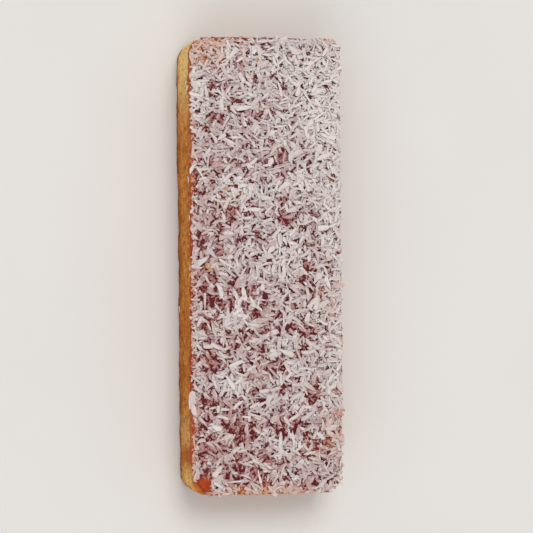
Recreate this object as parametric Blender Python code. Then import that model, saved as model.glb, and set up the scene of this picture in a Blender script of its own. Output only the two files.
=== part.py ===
"""Slice of coconut cake: a bar of sponge under a thin sheet of raspberry jam set with coconut shreds.

Metres, +Z up.  The slice lies along Y, rests on z = 0 and has the middle of its base at the origin.
Two solids: "sponge", and "jam_layer", the sheet of jam with the larger shreds of coconut fused to it.
"""

import math
import random

import bmesh
import bpy
from mathutils import Matrix, Vector, noise

# Sponge
LENGTH = 0.1262
WIDTH = 0.0424
SPONGE_HEIGHT = 0.0182
# (side of X, side of Y, radius) of each corner seen from above, anticlockwise from the far right one
CORNERS = ((1, 1, 0.0024), (-1, 1, 0.0046), (-1, -1, 0.0042), (1, -1, 0.0048))
POINT_SPACING = 0.0032  # between points round the outline
EDGE_WANDER = 0.00035  # how far the knife's cut strays from a straight line
WANDER_LENGTH = 0.0150
WANDER_SHIFT = 3.7  # each unevenness reads the noise at its own shift
BASE_ROUNDING = 0.0007  # of the baked lower edge
TOP_ROUNDING = 0.0005  # of the cut upper edge
SIDE_BULGE = 0.0003  # at half height
CRUMB_RELIEF = 0.00030
CRUMB_LENGTH = 0.0042
CRUMB_SHIFT = 11.3
SIDE_RINGS = 4  # between the rounded edges

# Jam
JAM_GAP = 0.0003  # clearance over the sponge
JAM_THICKNESS = 0.0013
JAM_SWELL = 0.00025  # how far the rim of the sheet bulges and the top rises and falls
SWELL_LENGTH = 0.0110
SWELL_SHIFT = 7.9
RIM_SWELL_LENGTH = 0.0055
RIM_SWELL_SHIFT = 19.1
RIM_WAIST = 0.45  # share of the thickness at which the rim is widest
RIM_PROUD = 0.0001  # how far the rim stands out there
RIM_FALL = 0.00040  # how far the top of the sheet drops at its rim
RIM_FALL_WIDTH = 0.0030
TOP_RING_STEPS = (0.035, 0.40)  # of the way from the rim to the middle line
BARE_CORNER = Vector((-0.0209, -0.0618))  # where the sheet is torn back from the sponge
BARE_CORNER_REACH = 0.0062
BARE_CORNER_DEPTH = 0.0016
BLOB = Vector((-0.0176, -0.0597))  # the bare blob of jam beside that corner
BLOB_RADIUS = 0.0021
BLOB_HALF_HEIGHT = 0.0009
BLOB_SUNK = 0.0002  # how far its middle lies below the top of the sheet

# Coconut
SEED = 41
SHRED_COLUMNS = 9
SHRED_ROWS = 28
CELL_JITTER = 0.30  # of a cell, each way
SHRED_LENGTH = (0.0034, 0.0064)
SHRED_WIDTH = (0.0013, 0.0021)
SHRED_THICKNESS = (0.00055, 0.00085)
SHRED_SHOULDERS = ((-0.60, 0.92), (0.50, 1.0))  # (along, share of width) between the two tips
SHRED_CROWN = 0.72  # upper width over lower width
SHRED_BEND = 0.16  # sideways bow over length
SHRED_LIFT = 0.00040  # how far an end curls up
SHRED_TILT = math.radians(7.0)
SHRED_SUNK = 0.30  # share of the thickness below the jam
TOPPING_FLOOR = 0.0004  # least height of a topping over the underside of the jam
OVERHANG = 0.0004  # how far an end may stand out past the rim
TURNS_TRIED = 12  # before a place at the rim is left without a shred

SPONGE_COLOUR = (0.56, 0.33, 0.12, 1.0)
JAM_COLOUR = (0.16, 0.020, 0.012, 1.0)
COCONUT_COLOUR = (0.60, 0.53, 0.49, 1.0)
SPONGE_ROUGHNESS = 0.85
JAM_ROUGHNESS = 0.25
COCONUT_ROUGHNESS = 0.55


def clear_scene():
    """Remove whatever the scene holds."""
    for thing in list(bpy.data.objects):
        bpy.data.objects.remove(thing, do_unlink=True)


def material(name, colour, roughness):
    """A Principled material of one colour."""
    made = bpy.data.materials.new(name)
    made.use_nodes = True
    shader = made.node_tree.nodes["Principled BSDF"]
    shader.inputs["Base Color"].default_value = colour
    shader.inputs["Roughness"].default_value = roughness
    shader.inputs["Metallic"].default_value = 0.0
    made.diffuse_color = colour
    return made


def wave(point, length, shift):
    """Smooth noise from -1 to 1 whose hills are about `length` across."""
    return noise.noise(point / length + Vector((shift, shift, shift)))


def plain_outline():
    """(point, outward normal) pairs round the slice, anticlockwise, before any unevenness."""
    arcs = []
    for turn, (side_x, side_y, radius) in enumerate(CORNERS):
        centre = Vector((side_x * (WIDTH / 2 - radius), side_y * (LENGTH / 2 - radius), 0.0))
        steps = max(3, round(radius * math.pi / 2 / POINT_SPACING) + 1)
        arc = []
        for step in range(steps + 1):
            angle = math.pi / 2 * (turn + step / steps)
            normal = Vector((math.cos(angle), math.sin(angle), 0.0))
            arc.append((centre + normal * radius, normal))
        arcs.append(arc)
    pairs = []
    for arc, following in zip(arcs, arcs[1:] + arcs[:1]):
        pairs += arc
        start, normal = arc[-1]
        end = following[0][0]
        steps = round((end - start).length / POINT_SPACING)
        pairs += [(start.lerp(end, step / steps), normal) for step in range(1, steps)]
    return pairs


def uneven_outline():
    """The plain outline pushed in and out as the knife wandered."""
    return [
        (point + normal * EDGE_WANDER * wave(point, WANDER_LENGTH, WANDER_SHIFT), normal)
        for point, normal in plain_outline()
    ]


def depth_inside(x, y):
    """How far a place is inside the slice's plain outline; less than zero outside it."""
    corner = next(c for c in CORNERS if c[0] * x >= 0 and c[1] * y >= 0)
    radius = corner[2]
    over_x = abs(x) - (WIDTH / 2 - radius)
    over_y = abs(y) - (LENGTH / 2 - radius)
    outside = math.hypot(max(over_x, 0.0), max(over_y, 0.0))
    return radius - outside - min(max(over_x, over_y), 0.0)


def ring(mesh, points):
    """Add a closed ring of vertices."""
    return [mesh.verts.new(point) for point in points]


def join_rings(mesh, lower, upper):
    """Faces between two rings that run anticlockwise, facing outwards where the upper one is above."""
    count = len(lower)
    for index in range(count):
        after = (index + 1) % count
        mesh.faces.new((lower[index], lower[after], upper[after], upper[index]))


def finished_object(mesh, name, *materials):
    """Triangulate a bmesh and put it in the scene as an object."""
    bmesh.ops.triangulate(mesh, faces=mesh.faces[:])
    bmesh.ops.recalc_face_normals(mesh, faces=mesh.faces[:])
    data = bpy.data.meshes.new(name)
    mesh.to_mesh(data)
    mesh.free()
    for made in materials:
        data.materials.append(made)
    made = bpy.data.objects.new(name, data)
    bpy.context.scene.collection.objects.link(made)
    return made


def sponge_ring(pairs, height):
    """The sponge's outline at one height: rounded edges, a bulge half way up and the crumb's relief."""
    share = height / SPONGE_HEIGHT
    offset = SIDE_BULGE * math.sin(math.pi * share)
    if height <= 0.0:
        offset -= BASE_ROUNDING
    if height >= SPONGE_HEIGHT:
        offset -= TOP_ROUNDING
    points = []
    for point, normal in pairs:
        place = point + Vector((0.0, 0.0, height))
        relief = CRUMB_RELIEF * wave(place, CRUMB_LENGTH, CRUMB_SHIFT)
        points.append(place + normal * (offset + relief))
    return points


def build_sponge(crumb):
    """The bar of sponge, flat underneath, with uneven cut sides."""
    pairs = uneven_outline()
    heights = [0.0, BASE_ROUNDING]
    span = SPONGE_HEIGHT - TOP_ROUNDING - BASE_ROUNDING
    heights += [BASE_ROUNDING + span * step / SIDE_RINGS for step in range(1, SIDE_RINGS + 1)]
    heights.append(SPONGE_HEIGHT)
    mesh = bmesh.new()
    rings = [ring(mesh, sponge_ring(pairs, height)) for height in heights]
    for lower, upper in zip(rings, rings[1:]):
        join_rings(mesh, lower, upper)
    mesh.faces.new(list(reversed(rings[0])))
    mesh.faces.new(rings[-1])
    return finished_object(mesh, "sponge", crumb)


def jam_top(x, y):
    """Height of the jam's upper surface, with gentle swells and a fall at the rim."""
    height = SPONGE_HEIGHT + JAM_GAP + JAM_THICKNESS
    height += JAM_SWELL * wave(Vector((x, y, 0.0)), SWELL_LENGTH, SWELL_SHIFT)
    depth = max(0.0, depth_inside(x, y))
    return height - RIM_FALL * max(0.0, 1.0 - depth / RIM_FALL_WIDTH) ** 2


def jam_outline():
    """The sheet's outline: the sponge's, drawn back at the torn corner and swelling elsewhere."""
    points = []
    for point, normal in uneven_outline():
        nearness = max(0.0, 1.0 - (point.xy - BARE_CORNER).length / BARE_CORNER_REACH)
        torn = BARE_CORNER_DEPTH * nearness * nearness * (3.0 - 2.0 * nearness)
        swell = JAM_SWELL * wave(point, RIM_SWELL_LENGTH, RIM_SWELL_SHIFT)
        points.append((point + normal * (swell - torn), normal))
    return points


def build_jam_sheet(jam, coconut):
    """The closed sheet of jam that lies just over the sponge."""
    pairs = jam_outline()
    underside = SPONGE_HEIGHT + JAM_GAP
    middle = LENGTH / 2 - WIDTH / 2

    def on_top(point, share):
        """A place on the upper surface, a share of the way from the rim to the middle line."""
        target = Vector((0.0, max(-middle, min(middle, point.y)), 0.0))
        place = point.lerp(target, share)
        return Vector((place.x, place.y, jam_top(place.x, place.y)))

    mesh = bmesh.new()
    low = Vector((0.0, 0.0, underside))
    mid = Vector((0.0, 0.0, underside + RIM_WAIST * JAM_THICKNESS))
    bottom = ring(mesh, [point - normal * TOP_ROUNDING + low for point, normal in pairs])
    waist = ring(mesh, [point + normal * RIM_PROUD + mid for point, normal in pairs])
    join_rings(mesh, bottom, waist)
    below = waist
    for share in TOP_RING_STEPS:
        above = ring(mesh, [on_top(point, share) for point, _ in pairs])
        join_rings(mesh, below, above)
        below = above
    mesh.faces.new(below)
    mesh.faces.new(list(reversed(bottom)))
    return finished_object(mesh, "jam_layer", jam, coconut)


def build_shred(name, length, width, thickness, draw, jam, coconut):
    """One sliver of coconut along X, pointed at both ends, bowed sideways, its tips curling up."""
    bend = draw.uniform(-1.0, 1.0) * SHRED_BEND * length
    lifts = (draw.uniform(0.0, SHRED_LIFT), draw.uniform(0.0, SHRED_LIFT))
    mesh = bmesh.new()

    def middle(along):
        """A place on the sliver's middle line, from -1 at one tip to 1 at the other."""
        rise = lifts[along > 0] * along * along
        return Vector((along * length / 2, bend * (1.0 - along * along), rise))

    rings = []
    for along, share in SHRED_SHOULDERS:
        half = Vector((0.0, share * width / 2, 0.0))
        up = Vector((0.0, 0.0, thickness / 2))
        place = middle(along)
        low, high = place - up, place + up
        crown = half * SHRED_CROWN
        rings.append(ring(mesh, (low - half, low + half, high + crown, high - crown)))
    join_rings(mesh, *rings)
    first, last = mesh.verts.new(middle(-1.0)), mesh.verts.new(middle(1.0))
    for index in range(4):
        after = (index + 1) % 4
        mesh.faces.new((first, rings[0][after], rings[0][index]))
        mesh.faces.new((last, rings[1][index], rings[1][after]))
    for face in mesh.faces:
        face.material_index = 1
    return finished_object(mesh, name, jam, coconut)


def settled_yaw(x, y, length, draw):
    """A direction in which a shred's ends stay over the cake, or None where there is none."""
    for _ in range(TURNS_TRIED):
        yaw = draw.uniform(0.0, math.pi)
        reach = Vector((math.cos(yaw), math.sin(yaw))) * length / 2
        ends = ((x + reach.x, y + reach.y), (x - reach.x, y - reach.y))
        if all(depth_inside(*end) > -OVERHANG for end in ends):
            return yaw
    return None


def press_in(topping):
    """Flatten whatever of a topping would go through the sheet of jam."""
    lowest = SPONGE_HEIGHT + JAM_GAP + TOPPING_FLOOR
    for vertex in topping.data.vertices:
        vertex.co.z = max(vertex.co.z, lowest)


def lay_shred(shred, x, y, yaw, thickness, draw):
    """Lay a shred on the jam, a little tilted and partly sunk."""
    height = jam_top(x, y) + thickness * (0.5 - SHRED_SUNK)
    pitch = draw.uniform(-SHRED_TILT, SHRED_TILT)
    roll = draw.uniform(-SHRED_TILT, SHRED_TILT)
    turn = Matrix.Rotation(yaw, 4, "Z") @ Matrix.Rotation(pitch, 4, "Y") @ Matrix.Rotation(roll, 4, "X")
    shred.data.transform(Matrix.Translation((x, y, height)) @ turn)
    press_in(shred)


def build_shreds(jam, coconut):
    """One large shred in each cell of a jittered grid over the cake, except on the bare blob."""
    draw = random.Random(SEED)
    shreds = []
    cell_x, cell_y = WIDTH / SHRED_COLUMNS, LENGTH / SHRED_ROWS
    for row in range(SHRED_ROWS):
        for column in range(SHRED_COLUMNS):
            x = (column + 0.5 + draw.uniform(-CELL_JITTER, CELL_JITTER)) * cell_x - WIDTH / 2
            y = (row + 0.5 + draw.uniform(-CELL_JITTER, CELL_JITTER)) * cell_y - LENGTH / 2
            length = draw.uniform(*SHRED_LENGTH)
            width = draw.uniform(*SHRED_WIDTH)
            thickness = draw.uniform(*SHRED_THICKNESS)
            yaw = settled_yaw(x, y, length, draw)
            if yaw is None or (Vector((x, y)) - BLOB).length < BLOB_RADIUS + width:
                continue
            shred = build_shred(f"shred_{row}_{column}", length, width, thickness, draw, jam, coconut)
            lay_shred(shred, x, y, yaw, thickness, draw)
            shreds.append(shred)
    return shreds


def build_blob(jam, coconut):
    """The bare blob of jam at the torn corner."""
    mesh = bmesh.new()
    bmesh.ops.create_icosphere(mesh, subdivisions=2, radius=BLOB_RADIUS)
    squash = Matrix.Diagonal((1.0, 1.0, BLOB_HALF_HEIGHT / BLOB_RADIUS, 1.0))
    place = Matrix.Translation((BLOB.x, BLOB.y, jam_top(BLOB.x, BLOB.y) - BLOB_SUNK))
    bmesh.ops.transform(mesh, matrix=place @ squash, verts=mesh.verts[:])
    blob = finished_object(mesh, "blob", jam, coconut)
    press_in(blob)
    return blob


def fuse(sheet, toppings):
    """Join the toppings to the sheet in one Boolean union, then remove their own objects."""
    gathered = bpy.data.collections.new("toppings")
    for topping in toppings:
        gathered.objects.link(topping)
    union = sheet.modifiers.new("fuse", "BOOLEAN")
    union.operation = "UNION"
    union.operand_type = "COLLECTION"
    union.collection = gathered
    union.solver = "EXACT"
    with bpy.context.temp_override(object=sheet, active_object=sheet):
        bpy.ops.object.modifier_apply(modifier=union.name)
    for topping in toppings:
        bpy.data.objects.remove(topping, do_unlink=True)
    bpy.data.collections.remove(gathered)


def keep_largest_shell(thing):
    """Keep the outer shell alone, which fills sealed hollows and drops loose scraps."""
    mesh = bmesh.new()
    mesh.from_mesh(thing.data)
    left = set(mesh.verts)
    shells = []
    while left:
        shell, front = set(), [left.pop()]
        while front:
            vertex = front.pop()
            shell.add(vertex)
            for edge in vertex.link_edges:
                other = edge.other_vert(vertex)
                if other in left:
                    left.discard(other)
                    front.append(other)
        shells.append(shell)
    shells.sort(key=len)
    scraps = [vertex for shell in shells[:-1] for vertex in shell]
    bmesh.ops.delete(mesh, geom=scraps, context="VERTS")
    bmesh.ops.triangulate(mesh, faces=mesh.faces[:])
    mesh.to_mesh(thing.data)
    mesh.free()


def main():
    """Build the two solids."""
    clear_scene()
    crumb = material("sponge", SPONGE_COLOUR, SPONGE_ROUGHNESS)
    jam = material("jam", JAM_COLOUR, JAM_ROUGHNESS)
    coconut = material("coconut", COCONUT_COLOUR, COCONUT_ROUGHNESS)
    build_sponge(crumb)
    sheet = build_jam_sheet(jam, coconut)
    fuse(sheet, build_shreds(jam, coconut) + [build_blob(jam, coconut)])
    keep_largest_shell(sheet)


main()
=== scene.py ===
"""Looks of the slice of coconut cake: open crumb, raspberry jam and desiccated coconut.

Everything is in metres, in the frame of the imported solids: the slice lies along Y, rests on z = 0 and
has the middle of its base at the origin. Each sub-assembly is a class that holds its sizes, builds its
meshes and dresses them with a finish.
"""

import logging
import math
from collections.abc import Sequence
from dataclasses import dataclass, field
from enum import Enum
from typing import ClassVar

import bmesh
import bpy
import numpy as np
from mathutils import Matrix, Vector, noise

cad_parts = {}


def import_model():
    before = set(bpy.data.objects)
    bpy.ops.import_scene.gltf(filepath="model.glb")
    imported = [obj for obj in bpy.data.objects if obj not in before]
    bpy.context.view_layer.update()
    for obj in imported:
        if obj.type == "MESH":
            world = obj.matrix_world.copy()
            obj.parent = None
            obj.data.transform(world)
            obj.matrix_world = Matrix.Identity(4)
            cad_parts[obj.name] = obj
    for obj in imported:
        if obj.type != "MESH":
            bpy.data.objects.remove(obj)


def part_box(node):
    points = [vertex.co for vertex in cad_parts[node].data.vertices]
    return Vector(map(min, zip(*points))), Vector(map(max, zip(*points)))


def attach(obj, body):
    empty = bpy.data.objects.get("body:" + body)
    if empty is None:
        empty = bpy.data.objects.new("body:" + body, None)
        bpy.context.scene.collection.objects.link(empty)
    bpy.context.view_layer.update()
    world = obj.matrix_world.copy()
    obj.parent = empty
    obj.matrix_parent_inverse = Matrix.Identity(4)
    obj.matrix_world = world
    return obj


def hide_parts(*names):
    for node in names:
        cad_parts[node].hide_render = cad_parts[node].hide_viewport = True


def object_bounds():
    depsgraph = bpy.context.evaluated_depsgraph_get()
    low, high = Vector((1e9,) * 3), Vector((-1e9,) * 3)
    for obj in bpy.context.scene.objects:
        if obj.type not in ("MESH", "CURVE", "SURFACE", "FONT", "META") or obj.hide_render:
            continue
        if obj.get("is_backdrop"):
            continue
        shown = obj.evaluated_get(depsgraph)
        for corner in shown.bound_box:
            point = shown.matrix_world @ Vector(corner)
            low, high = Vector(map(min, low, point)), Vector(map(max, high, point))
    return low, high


Array = np.ndarray
Pair = tuple[float, float]
Triple = tuple[float, float, float]
Colour = tuple[float, float, float, float]
Draws = np.random.Generator
Socket = bpy.types.NodeSocket
Value = Socket | float | Sequence[float]

LOG = logging.getLogger("coconut_cake")
ROOT = "root"
STANDING_PROUD = 1.028  # how much higher than the solids the topping may reach
SHARP_EDGE = math.radians(34)  # coconut stays sharp where its faces meet at more than this
PATCH_EDGE = 1.8  # how steeply a patch fades at its edge
PRESSED_IN = 0.25  # how far out a clinging piece's middle is, as a share of its thickness

# Where the noise is read, so that each use has a pattern of its own.
TORN_SHIFT, RIPPLE_SHIFT, DRIP_SHIFT, SEAM_SHIFT, BLOB_SHIFT = 5.1, 2.9, 23.3, 31.7, 44.1
PATCH_SHIFT, CLUMP_SHIFT = 4.4, 8.2


def srgb(red: int, green: int, blue: int) -> Colour:
    """Convert a colour in 0-255 steps to linear light.

    Args:
        red: Red, 0 to 255.
        green: Green, 0 to 255.
        blue: Blue, 0 to 255.

    Returns:
        The linear RGBA colour, opaque.
    """
    shares = (value / 255.0 for value in (red, green, blue))
    linear = (s / 12.92 if s <= 0.04045 else ((s + 0.055) / 1.055) ** 2.4 for s in shares)
    return (*linear, 1.0)


def smooth_step(share: Array | float) -> Array | float:
    """Ease a share from 0 to 1, with level ends."""
    held = np.clip(share, 0.0, 1.0)
    return held * held * (3.0 - 2.0 * held)


def waves(points: Array, length: float, shift: float) -> Array:
    """Sample smooth noise at many places.

    Args:
        points: Places, one row of three each.
        length: How far across the noise's hills are.
        shift: Where in the noise to read, so that each use has its own pattern.

    Returns:
        A value from -1 to 1 for each place.
    """
    offset = Vector((shift, shift, shift))
    return np.array([noise.noise(Vector(place) / length + offset) for place in points])


def distance_from(points: Array, place: Pair) -> Array:
    """How far points are from a place, seen from above."""
    return np.hypot(points[:, 0] - place[0], points[:, 1] - place[1])


# ---- Meshes and materials ----


def mesh_piece(
    name: str,
    points: Array,
    faces: Sequence[Sequence[int]],
    finish: bpy.types.Material,
    marks: dict[str, Array] | None = None,
    sharp_angle: float | None = None,
) -> bpy.types.Object:
    """Make a mesh object and link it to the scene.

    Args:
        name: The piece's name.
        points: Vertices, one row of three each.
        faces: Corner indices of each face, anticlockwise from outside.
        finish: The piece's material.
        marks: Values for each vertex that the finish reads, by attribute name.
        sharp_angle: Edges bent by more than this stay sharp; all are smooth where it is None.

    Returns:
        The new object.
    """
    mesh = bpy.data.meshes.new(name)
    mesh.from_pydata(points.tolist(), [], [list(face) for face in faces])
    for mark, values in (marks or {}).items():
        mesh.attributes.new(mark, "FLOAT", "POINT").data.foreach_set("value", values.astype(np.float32))
    mesh.materials.append(finish)
    mesh.shade_smooth()
    if sharp_angle is not None:
        mesh.set_sharp_from_angle(angle=sharp_angle)
    mesh.validate()
    piece = bpy.data.objects.new(name, mesh)
    bpy.context.scene.collection.objects.link(piece)
    return piece


def loft_faces(rings: int, around: int) -> Array:
    """Index the quads between closed rings that follow each other.

    Args:
        rings: How many rings there are, each after the last in the vertex list.
        around: Vertices in each ring, anticlockwise seen from above where later rings are higher.

    Returns:
        One row of four corners for each quad.
    """
    ring = np.arange(rings - 1)[:, None] * around
    here = np.arange(around)[None, :]
    after = (here + 1) % around
    quads = np.stack([ring + here, ring + after, ring + around + after, ring + around + here], axis=-1)
    return quads.reshape(-1, 4)


def shut_faces(rings: int, around: int) -> list[list[int]]:
    """Index the faces of such rings, with one more across the first ring and across the last."""
    first, last = list(range(around)), list(range((rings - 1) * around, rings * around))
    return [*loft_faces(rings, around).tolist(), first[::-1], last]


class Graph:
    """A material's node tree, with a short call for each node that the finishes use."""

    MIX_COLOURS: ClassVar[tuple[int, int, int]] = (6, 7, 2)  # a Mix node's colour inputs and output

    def __init__(self, name: str) -> None:
        """Start a material.

        Args:
            name: The material's name.
        """
        self.material = bpy.data.materials.new(name)
        self.material.use_nodes = True
        self.tree = self.material.node_tree
        self.shader = self.tree.nodes["Principled BSDF"]
        self.place = self.add("TexCoord", "Object", {})

    def add(
        self, kind: str, out: str | int, inputs: dict[str | int, Value], **settings: object
    ) -> Socket:
        """Add a node.

        Args:
            kind: Blender's name for the node's type, without its prefix.
            out: Which of its outputs is wanted.
            inputs: What goes into its sockets, by name or number: a socket or a value.
            **settings: Values for the node's own properties.

        Returns:
            That output's socket.
        """
        node = self.tree.nodes.new(f"ShaderNode{kind}")
        for key, value in settings.items():
            setattr(node, key, value)
        for key, value in inputs.items():
            self.feed(node.inputs[key], value)
        return node.outputs[out]

    def feed(self, socket: Socket, value: Value) -> None:
        """Link a socket to another, or set it to a value.

        Args:
            socket: The input.
            value: The output that it is linked to, or its value.
        """
        if isinstance(value, bpy.types.NodeSocket):
            self.tree.links.new(value, socket)
        else:
            socket.default_value = value

    def grain(
        self, size: float, detail: float = 2.0, rough: float = 0.5, stretch: float = 1.0
    ) -> Socket:
        """Noise from 0 to 1.

        Args:
            size: How far across its blotches are, in metres.
            detail: How many finer octaves it has.
            rough: How strong they are.
            stretch: How many times longer the blotches are along the slice than up its side.

        Returns:
            The noise's socket.
        """
        scale = (1.0 / size, 1.0 / (size * stretch), 1.0 / size)
        scaled = self.add("Mapping", "Vector", {"Vector": self.place, "Scale": scale})
        inputs = {"Vector": scaled, "Scale": 1.0, "Detail": detail, "Roughness": rough}
        return self.add("TexNoise", "Fac", inputs)

    def mark(self, name: str) -> Socket:
        """Read a value that the mesh holds for each vertex."""
        return self.add("Attribute", "Fac", {}, attribute_name=name)

    def height(self) -> Socket:
        """Height over the floor, in metres."""
        return self.add("SeparateXYZ", "Z", {"Vector": self.place})

    def spread(self, value: Socket, span: Pair, onto: Pair = (0.0, 1.0)) -> Socket:
        """Map a span of a value onto another, eased and held at its ends."""
        inputs = dict(zip(("From Min", "From Max", "To Min", "To Max"), (*span, *onto)), Value=value)
        return self.add("MapRange", "Result", inputs, interpolation_type="SMOOTHSTEP")

    def calculate(self, operation: str, first: Socket | float, second: Socket | float) -> Socket:
        """Combine two values by one of Blender's Math operations."""
        return self.add("Math", 0, {0: first, 1: second}, operation=operation)

    def times(self, first: Socket | float, second: Socket | float) -> Socket:
        """Multiply two values."""
        return self.calculate("MULTIPLY", first, second)

    def uneven(self, value: Socket, size: float, strength: float, detail: float = 2.0) -> Socket:
        """Add noise to a value.

        Args:
            value: The value.
            size: How far across the noise's blotches are, in metres.
            strength: How much it adds or takes away, at most half of this.
            detail: How many finer octaves it has.

        Returns:
            The uneven value's socket.
        """
        swing = self.calculate("SUBTRACT", self.grain(size, detail=detail), 0.5)
        return self.calculate("ADD", value, self.times(swing, strength))

    def ramp(self, value: Socket, stops: Sequence[tuple[float, Colour]]) -> Socket:
        """Colour a value by stops.

        Args:
            value: The value, 0 to 1.
            stops: Each stop's place and colour, lowest first.

        Returns:
            The colour's socket.
        """
        colour = self.add("ValToRGB", "Color", {"Fac": value})
        elements = colour.node.color_ramp.elements
        while len(elements) < len(stops):
            elements.new(1.0)
        for element, (place, tone) in zip(elements, stops):
            element.position = place
            element.color = tone
        return colour

    def blend(self, share: Socket | float, first: Socket | Colour, second: Socket | Colour) -> Socket:
        """Mix two colours.

        Args:
            share: How much of the second there is.
            first: The first colour.
            second: The second colour.

        Returns:
            The mixed colour's socket.
        """
        first_at, second_at, out = self.MIX_COLOURS
        inputs = {0: share, first_at: first, second_at: second}
        return self.add("Mix", out, inputs, data_type="RGBA", clamp_factor=True)

    def relief(self, height: Socket, depth: float) -> Socket:
        """Bump the surface by a relief's height, 0 to 1, of a depth in metres."""
        return self.add("Bump", "Normal", {"Strength": 1.0, "Distance": depth, "Height": height})

    def scatter(self, weight: float, radius: Triple) -> None:
        """Let light in under the surface: how much, and how far each colour gets, in metres."""
        for end, value in (("Weight", weight), ("Radius", radius), ("Scale", 1.0)):
            self.feed(self.shader.inputs[f"Subsurface {end}"], value)

    def shade(self, **values: Value) -> bpy.types.Material:
        """Set the shader's sockets.

        Args:
            **values: What goes into each, by its name with _ for a space.

        Returns:
            The material.
        """
        for key, value in values.items():
            self.feed(self.shader.inputs[key.replace("_", " ")], value)
        return self.material


# ---- Finishes ----


@dataclass(frozen=True)
class CrumbFinish:
    """Golden sponge with shade painted into its cells, browned where it met the tin.

    Attributes:
        light: Crumb between the cells.
        golden: The crumb's own colour.
        pale: Painted light: paler crumb towards the ends of the left side.
        caramel: Browner patches, most of them low on the side.
        deep: Painted shade inside the cells.
        crust: The baked base.
        crust_edge: The paler brown above it.
        crust_height: How far up the brown reaches.
        soaked: Crumb that the jam has stained, just under it.
        soak_depth: How far down that reaches.
        loose: Loose specks.
        loose_pale: The lighter parts of them.
        mottle: Size of the light and golden mottling.
        patch: Size of the browner patches.
        cell: Size of the cells that are too fine to be modelled.
        wander: Size and strength of the unevenness of the base's and the stain's edges.
        relief: Size and depth of the finest roughness.
        speck_grain: Size of the mottling and of the roughness of loose specks, and its depth.
        roughness: Of the bar and of loose specks.
        shine: How strongly those two mirror.
        scatter: How much light gets in under the surface, and how far each colour does.
    """

    light: Colour = srgb(232, 162, 80)
    golden: Colour = srgb(188, 106, 32)
    pale: Colour = srgb(255, 216, 138)
    caramel: Colour = srgb(164, 84, 24)
    deep: Colour = srgb(138, 74, 22)
    crust: Colour = srgb(122, 60, 20)
    crust_edge: Colour = srgb(152, 82, 28)
    crust_height: float = 0.0016
    soaked: Colour = srgb(182, 78, 16)
    soak_depth: float = 0.0009
    loose: Colour = srgb(190, 140, 84)
    loose_pale: Colour = srgb(222, 188, 138)
    mottle: float = 0.0016
    patch: float = 0.0060
    cell: float = 0.00065
    wander: Pair = (0.004, 0.0012)
    relief: Pair = (0.0006, 0.00022)
    speck_grain: Triple = (0.0007, 0.0005, 0.0002)
    roughness: Pair = (0.92, 0.9)
    shine: Pair = (0.2, 0.25)
    scatter: tuple[float, Triple] = (0.08, (0.0008, 0.0005, 0.0002))

    def material(self, top: float) -> bpy.types.Material:
        """Make the material.

        Args:
            top: Height of the sponge's top.

        Returns:
            The material.
        """
        graph = Graph("sponge_crumb")
        mottle = graph.grain(self.mottle, detail=5.0, rough=0.65, stretch=1.4)
        crumb = graph.ramp(mottle, ((0.36, self.golden), (0.64, self.light)))
        low = graph.spread(graph.height(), (0.0, top), (0.24, -0.12))
        browned = graph.calculate("ADD", graph.grain(self.patch, detail=3.0, stretch=1.5), low)
        crumb = graph.blend(graph.spread(browned, (0.48, 0.86), (0.0, 0.75)), crumb, self.caramel)
        # Painted light: the left side is made paler towards its ends, where more light would reach it.
        paler = graph.times(graph.mark("pale"), graph.spread(browned, (0.45, 0.80), (1.0, 0.6)))
        crumb = graph.blend(paler, crumb, self.pale)
        holes = graph.spread(graph.grain(self.cell, stretch=1.3), (0.52, 0.80))
        pits = graph.spread(graph.grain(self.cell * 0.45, detail=1.0), (0.52, 0.80), (0.0, 0.6))
        small = graph.calculate("MAXIMUM", holes, pits)
        # Painted shade: the cells too fine to model, and the modelled ones by their depth, are darkened
        # with the deep colour as if shade lay in them.
        for shaded_hollow in (small, graph.spread(graph.mark("pore"), (0.05, 1.10))):
            crumb = graph.blend(graph.times(shaded_hollow, 0.70), crumb, self.deep)
        height = graph.uneven(graph.height(), *self.wander)
        edge = graph.spread(height, (self.crust_height * 0.8, self.crust_height * 3.0), (0.85, 0.0))
        crumb = graph.blend(edge, crumb, self.crust_edge)
        base = graph.spread(height, (self.crust_height * 0.3, self.crust_height * 1.3), (1.0, 0.0))
        crumb = graph.blend(base, crumb, self.crust)
        stain = graph.spread(height, (top - self.soak_depth, top), (0.0, 0.8))
        ragged = graph.times(graph.mark("wet"), graph.spread(mottle, (0.30, 0.60), (0.45, 1.0)))
        ragged = graph.times(ragged, graph.spread(height, (0.0, top), (0.55, 1.0)))
        crumb = graph.blend(graph.calculate("MAXIMUM", stain, ragged), crumb, self.soaked)
        size, depth = self.relief
        sunk = graph.calculate("SUBTRACT", graph.grain(size, detail=5.0, rough=0.65), small)
        graph.scatter(*self.scatter)
        return graph.shade(
            Base_Color=crumb,
            Roughness=self.roughness[0],
            Specular_IOR_Level=self.shine[0],
            Normal=graph.relief(sunk, depth),
        )

    def speck_material(self) -> bpy.types.Material:
        """Make the material of loose specks.

        Returns:
            The material.
        """
        graph = Graph("sponge_speck")
        mottle, size, depth = self.speck_grain
        crumb = graph.grain(mottle, detail=3.0)
        crumb = graph.ramp(crumb, ((0.35, self.loose), (0.65, self.loose_pale)))
        rough = graph.relief(graph.grain(size, detail=3.0, rough=0.65), depth)
        return graph.shade(
            Base_Color=crumb,
            Roughness=self.roughness[1],
            Specular_IOR_Level=self.shine[1],
            Normal=rough,
        )


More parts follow.
